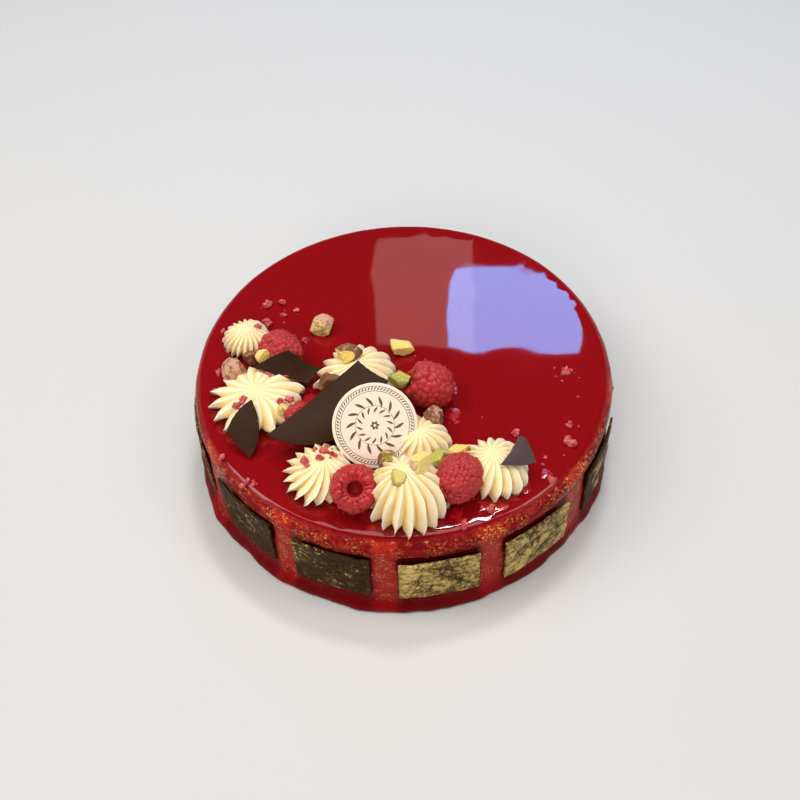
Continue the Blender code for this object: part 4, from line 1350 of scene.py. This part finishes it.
class CAKE_OT_shards(bpy.types.Operator):
    """Break the thin sheets of dark chocolate and bend them between their corners"""

    bl_idname = "cake.shards"
    bl_label = "Chocolate Shards"

    def execute(self, context):
        sizes = settings("chocolate")
        material = chocolate_finish(sizes)
        for number, spec in enumerate(SHARDS):
            self.make_shard(number, sizes, material, *spec)
        return {"FINISHED"}

    def make_shard(self, number, sizes, material, node, corners, bows, bulge, bloom):
        shard = sheet(f"snapped_{node}", 48, 36)
        share = np.clip(points_of(shard)[:, :2] + 0.5, 0, 1)
        points, normal = self.bent(share[:, 0], share[:, 1], corners, bows, bulge)
        ragged = ripples(points, 0.0022, number, 3) * 0.00018
        border = np.minimum(share, 1 - share).min(axis=1) < 0.012
        middle = points.mean(0)
        away = points - middle
        away /= np.maximum(np.linalg.norm(away, axis=1), 1e-6)[:, None]
        points = points + away * (ragged * border)[:, None]
        points = points + np.array(normal) * (ripples(points, 0.012, number + 5, 1) * 0.00015)[:, None]
        move_points(shard, points)
        apply_modifier(shard, "SOLIDIFY", thickness=sizes.thickness, offset=0)
        apply_modifier(shard, "BEVEL", width=0.00022, segments=2, limit_method="ANGLE")
        with editing(shard):
            bpy.ops.mesh.normals_make_consistent(inside=False)
        write_field(shard, "bloom", np.full(len(shard.data.vertices), bloom))
        finish_piece(shard, material, "dark_chocolate", node, angle=50)

    def bent(self, u, v, corners, bows, bulge):
        """Points of the sheet at shares u and v across its corners, and the way it faces."""
        a, b, c, d = (np.array(corner) for corner in corners)
        middle = (a + b + c + d) / 4
        normal = np.cross(c - a, d - b)
        normal /= np.linalg.norm(normal)

        def edge(start, end, bow, share):
            along = (end - start) / np.linalg.norm(end - start)
            out = np.cross(normal, along)
            if out @ ((start + end) / 2 - middle) < 0:
                out = -out
            share = share[:, None]
            return start + (end - start) * share + out * bow * 4 * share * (1 - share)

        low, high = edge(a, b, bows[0], u), edge(d, c, bows[2], u)
        left, right = edge(a, d, bows[3], v), edge(b, c, bows[1], v)
        u, v = u[:, None], v[:, None]
        flat = (a * (1 - u) + b * u) * (1 - v) + (d * (1 - u) + c * u) * v
        raised = bulge * 16 * u * (1 - u) * v * (1 - v)
        return low * (1 - v) + high * v + left * (1 - u) + right * u - flat + normal * raised, normal


class CAKE_OT_medallion(bpy.types.Operator):
    """Cast the white chocolate medallion with its softened edge, for the printed face"""

    bl_idname = "cake.medallion"
    bl_label = "Medallion"

    def execute(self, context):
        sizes = settings("chocolate")
        coin = {"vertices": 128, "radius": sizes.disc_radius, "depth": sizes.disc_thickness}
        disc = added("medallion", bpy.ops.mesh.primitive_cylinder_add, **coin)
        with editing(disc):
            bpy.ops.mesh.bevel(offset=0.0003, segments=3, affect="EDGES")
        with editing(disc):
            bpy.ops.mesh.select_all(action="DESELECT")
        for polygon in disc.data.polygons:
            polygon.select = polygon.normal.z > 0.99
        bpy.ops.object.mode_set(mode="EDIT")
        for _ in range(6):
            bpy.ops.mesh.inset(thickness=sizes.disc_radius * 0.13)
        bpy.ops.mesh.poke()
        bpy.ops.object.mode_set(mode="OBJECT")
        points = points_of(disc)
        write_field(disc, "front", (points[:, 2] > sizes.disc_thickness * 0.42).astype(float))
        face = disc.data.uv_layers.new(name="face")
        for loop in disc.data.loops:
            place = disc.data.vertices[loop.vertex_index].co
            face.data[loop.index].uv = (place.x / sizes.disc_radius, place.y / sizes.disc_radius)
        upright = facing(MEDALLION_FACING) @ Matrix.Rotation(math.radians(35), 4, "Z")
        bake_place(disc, Matrix.Translation(MEDALLION_CENTRE) @ upright)
        finish_piece(disc, disc_finish(sizes), "white_chocolate", "chocolate_medallion", angle=35)
        return {"FINISHED"}


class CAKE_OT_pistachios(bpy.types.Operator):
    """Chop the pistachio kernels into pieces with flat cuts and wrinkled skin"""

    bl_idname = "cake.pistachios"
    bl_label = "Pistachios"

    def execute(self, context):
        material = nut_finish(settings("nuts"))
        for number, spec in enumerate(PISTACHIOS):
            self.chop(number, material, *spec)
        return {"FINISHED"}

    def chop(self, number, material, node, half_sizes, turn, tilt, skin, green, pale):
        rng = random.Random(number + 200)
        nut = added(f"chopped_{node}", bpy.ops.mesh.primitive_ico_sphere_add, subdivisions=4, radius=1)
        cuts = []
        with editing(nut):
            bpy.ops.transform.resize(value=[half * 1.20 for half in half_sizes])
        for _ in range(5):
            direction = Vector((rng.uniform(-1, 1), rng.uniform(-1, 1), rng.uniform(-0.3, 1))).normalized()
            reach = sum(abs(c) * h for c, h in zip(direction, half_sizes)) * rng.uniform(0.40, 0.64)
            cuts.append((direction, reach))
            cut_off(nut, direction, reach)
        apply_modifier(nut, "REMESH", mode="VOXEL", voxel_size=0.00026)
        points = points_of(nut)
        kernel = np.zeros(len(points))
        for direction, reach in cuts:
            kernel = np.maximum(kernel, (points @ np.array(direction) > reach - 0.00025).astype(float))
        roughen(nut, 0.00022, 0.0026, number, 2)
        roughen(nut, 0.00009, 0.0007, number + 50, 2)
        write_field(nut, "skin", np.clip(skin + 0.25 - kernel * 0.45, 0, 1))
        write_field(nut, "green", np.full(len(points), green))
        write_field(nut, "pale", np.full(len(points), pale))
        place = Matrix.Rotation(math.radians(turn), 4, "Z") @ Matrix.Rotation(math.radians(tilt), 4, "X")
        bake_place(nut, place)
        move_to_node(nut, node)
        finish_piece(nut, material, "pistachio", node)


def soft_light(name, place, aim, size, power, colour, shape="RECTANGLE"):
    """A broad studio light that looks at a point."""
    bpy.ops.object.light_add(type="AREA", location=place)
    light = bpy.context.object
    light.name = name
    light.rotation_euler = (Vector(aim) - Vector(place)).to_track_quat("-Z", "Y").to_euler()
    light.data.shape = shape
    light.data.size, light.data.size_y = size
    light.data.energy = power
    light.data.color = colour
    return light


class CAKE_OT_stage(bpy.types.Operator):
    """Lay the plain floor, hang the soft lights and set up the camera"""

    bl_idname = "cake.stage"
    bl_label = "Stage"

    def execute(self, context):
        stage = settings("stage")
        floor = added("floor", bpy.ops.mesh.primitive_plane_add, size=2.4)
        floor.data.materials.append(floor_finish(stage.floor))
        world = bpy.data.worlds.new("studio")
        world.use_nodes = True
        self.shade_world(world.node_tree, stage)
        context.scene.world = world
        self.hang_lights(stage)
        self.set_camera(context)
        context.scene.view_settings.view_transform = "Standard"
        return {"FINISHED"}

    def hang_lights(self, stage):
        """The window and glow that the mirror top reflects, and soft lights round the cake."""
        top, middle, warm = (0.03, 0.03, 0.048), (0, 0, 0.03), (1.0, 0.97, 0.93)
        power, side = stage.window_power, stage.side_power
        soft_light("window", (0.150, 0.657, 0.720), top, (0.165, 0.098), power, (0.07, 0.41, 1.0))
        soft_light("glow", (0.036, 0.706, 0.730), top, (0.122, 0.140), power * 0.11, (0.9, 0.7, 0.7))
        front_place = (-0.3, -1.0, 0.8)
        front = soft_light("front", front_place, middle, (0.6, 0.4), stage.front_power, warm, "ELLIPSE")
        front.visible_glossy = False
        soft_light("overhead", (0.0, -0.05, 1.3), (0, 0, 0), (1.1, 0.6), stage.top_power, (1.0, 0.97, 0.92))
        soft_light("left", (-0.80, 0.0, 1.05), middle, (0.5, 0.7), side, warm)
        soft_light("right", (0.80, -0.2, 1.10), middle, (0.4, 0.4), side * 0.5, warm)
        spark_place = (0.12, 0.42, 1.2)
        soft_light("spark", spark_place, (0, 0, 0.05), (0.20, 0.13), stage.spark_power, (1.0, 0.98, 0.95))

    def shade_world(self, tree, stage):
        """Pale all round low down, and dim above so that the mirror glaze keeps its deep red."""
        background = tree.nodes["Background"]
        background.inputs["Color"].default_value = (0.95, 0.97, 1.0, 1)
        direction = tree.nodes.new("ShaderNodeTexCoord")
        parts = tree.nodes.new("ShaderNodeSeparateXYZ")
        fade = tree.nodes.new("ShaderNodeMapRange")
        fade.interpolation_type = "SMOOTHSTEP"
        limits = {"From Min": 0.18, "From Max": 0.50, "To Min": stage.horizon, "To Max": stage.sky}
        for key, value in limits.items():
            fade.inputs[key].default_value = value
        tree.links.new(direction.outputs["Generated"], parts.inputs["Vector"])
        tree.links.new(parts.outputs["Z"], fade.inputs["Value"])
        tree.links.new(fade.outputs["Result"], background.inputs["Strength"])

    def set_camera(self, context):
        forward = Vector((0, math.cos(CAMERA_ELEVATION), -math.sin(CAMERA_ELEVATION)))
        level_right = Vector((1, 0, 0))
        level_up = level_right.cross(forward)
        right = level_right * math.cos(CAMERA_ROLL) + level_up * math.sin(CAMERA_ROLL)
        up = -level_right * math.sin(CAMERA_ROLL) + level_up * math.cos(CAMERA_ROLL)
        turn = Matrix((right, up, -forward)).transposed()
        bpy.ops.object.camera_add(location=CAMERA_PLACE, rotation=turn.to_euler())
        camera = bpy.context.object
        camera.data.sensor_width = 36
        camera.data.lens = CAMERA_LENS
        camera.data.clip_start = 0.01
        context.scene.camera = camera


class CAKE_PT_builder(bpy.types.Panel):
    bl_label = "Mirror-Glazed Cake"
    bl_space_type = "VIEW_3D"
    bl_region_type = "UI"
    bl_category = "Cake"

    def draw(self, context):
        for group in SETTINGS:
            box = self.layout.box()
            values = settings(group)
            for key in values.__annotations__:
                box.prop(values, key)
        for operator in OPERATORS:
            self.layout.operator(operator.bl_idname)


SETTINGS = {
    "glaze": GlazeSettings,
    "panels": PanelSettings,
    "cream": CreamSettings,
    "berries": BerrySettings,
    "chocolate": ChocolateSettings,
    "nuts": NutSettings,
    "stage": StageSettings,
}
OPERATORS = (
    CAKE_OT_glaze,
    CAKE_OT_panels,
    CAKE_OT_rosettes,
    CAKE_OT_raspberries,
    CAKE_OT_shards,
    CAKE_OT_medallion,
    CAKE_OT_pistachios,
    CAKE_OT_crumbs,
    CAKE_OT_drops,
    CAKE_OT_stage,
)


def register():
    for group, kind in SETTINGS.items():
        bpy.utils.register_class(kind)
        setattr(bpy.types.Scene, "cake_" + group, PointerProperty(type=kind))
    for kind in (*OPERATORS, CAKE_PT_builder):
        bpy.utils.register_class(kind)


def unregister():
    for kind in (CAKE_PT_builder, *reversed(OPERATORS)):
        bpy.utils.unregister_class(kind)
    for group, kind in reversed(SETTINGS.items()):
        delattr(bpy.types.Scene, "cake_" + group)
        bpy.utils.unregister_class(kind)


def main():
    register()
    for operator in OPERATORS:
        getattr(bpy.ops.cake, operator.bl_idname.split(".")[1])()


if __name__ == "__main__":
    main()
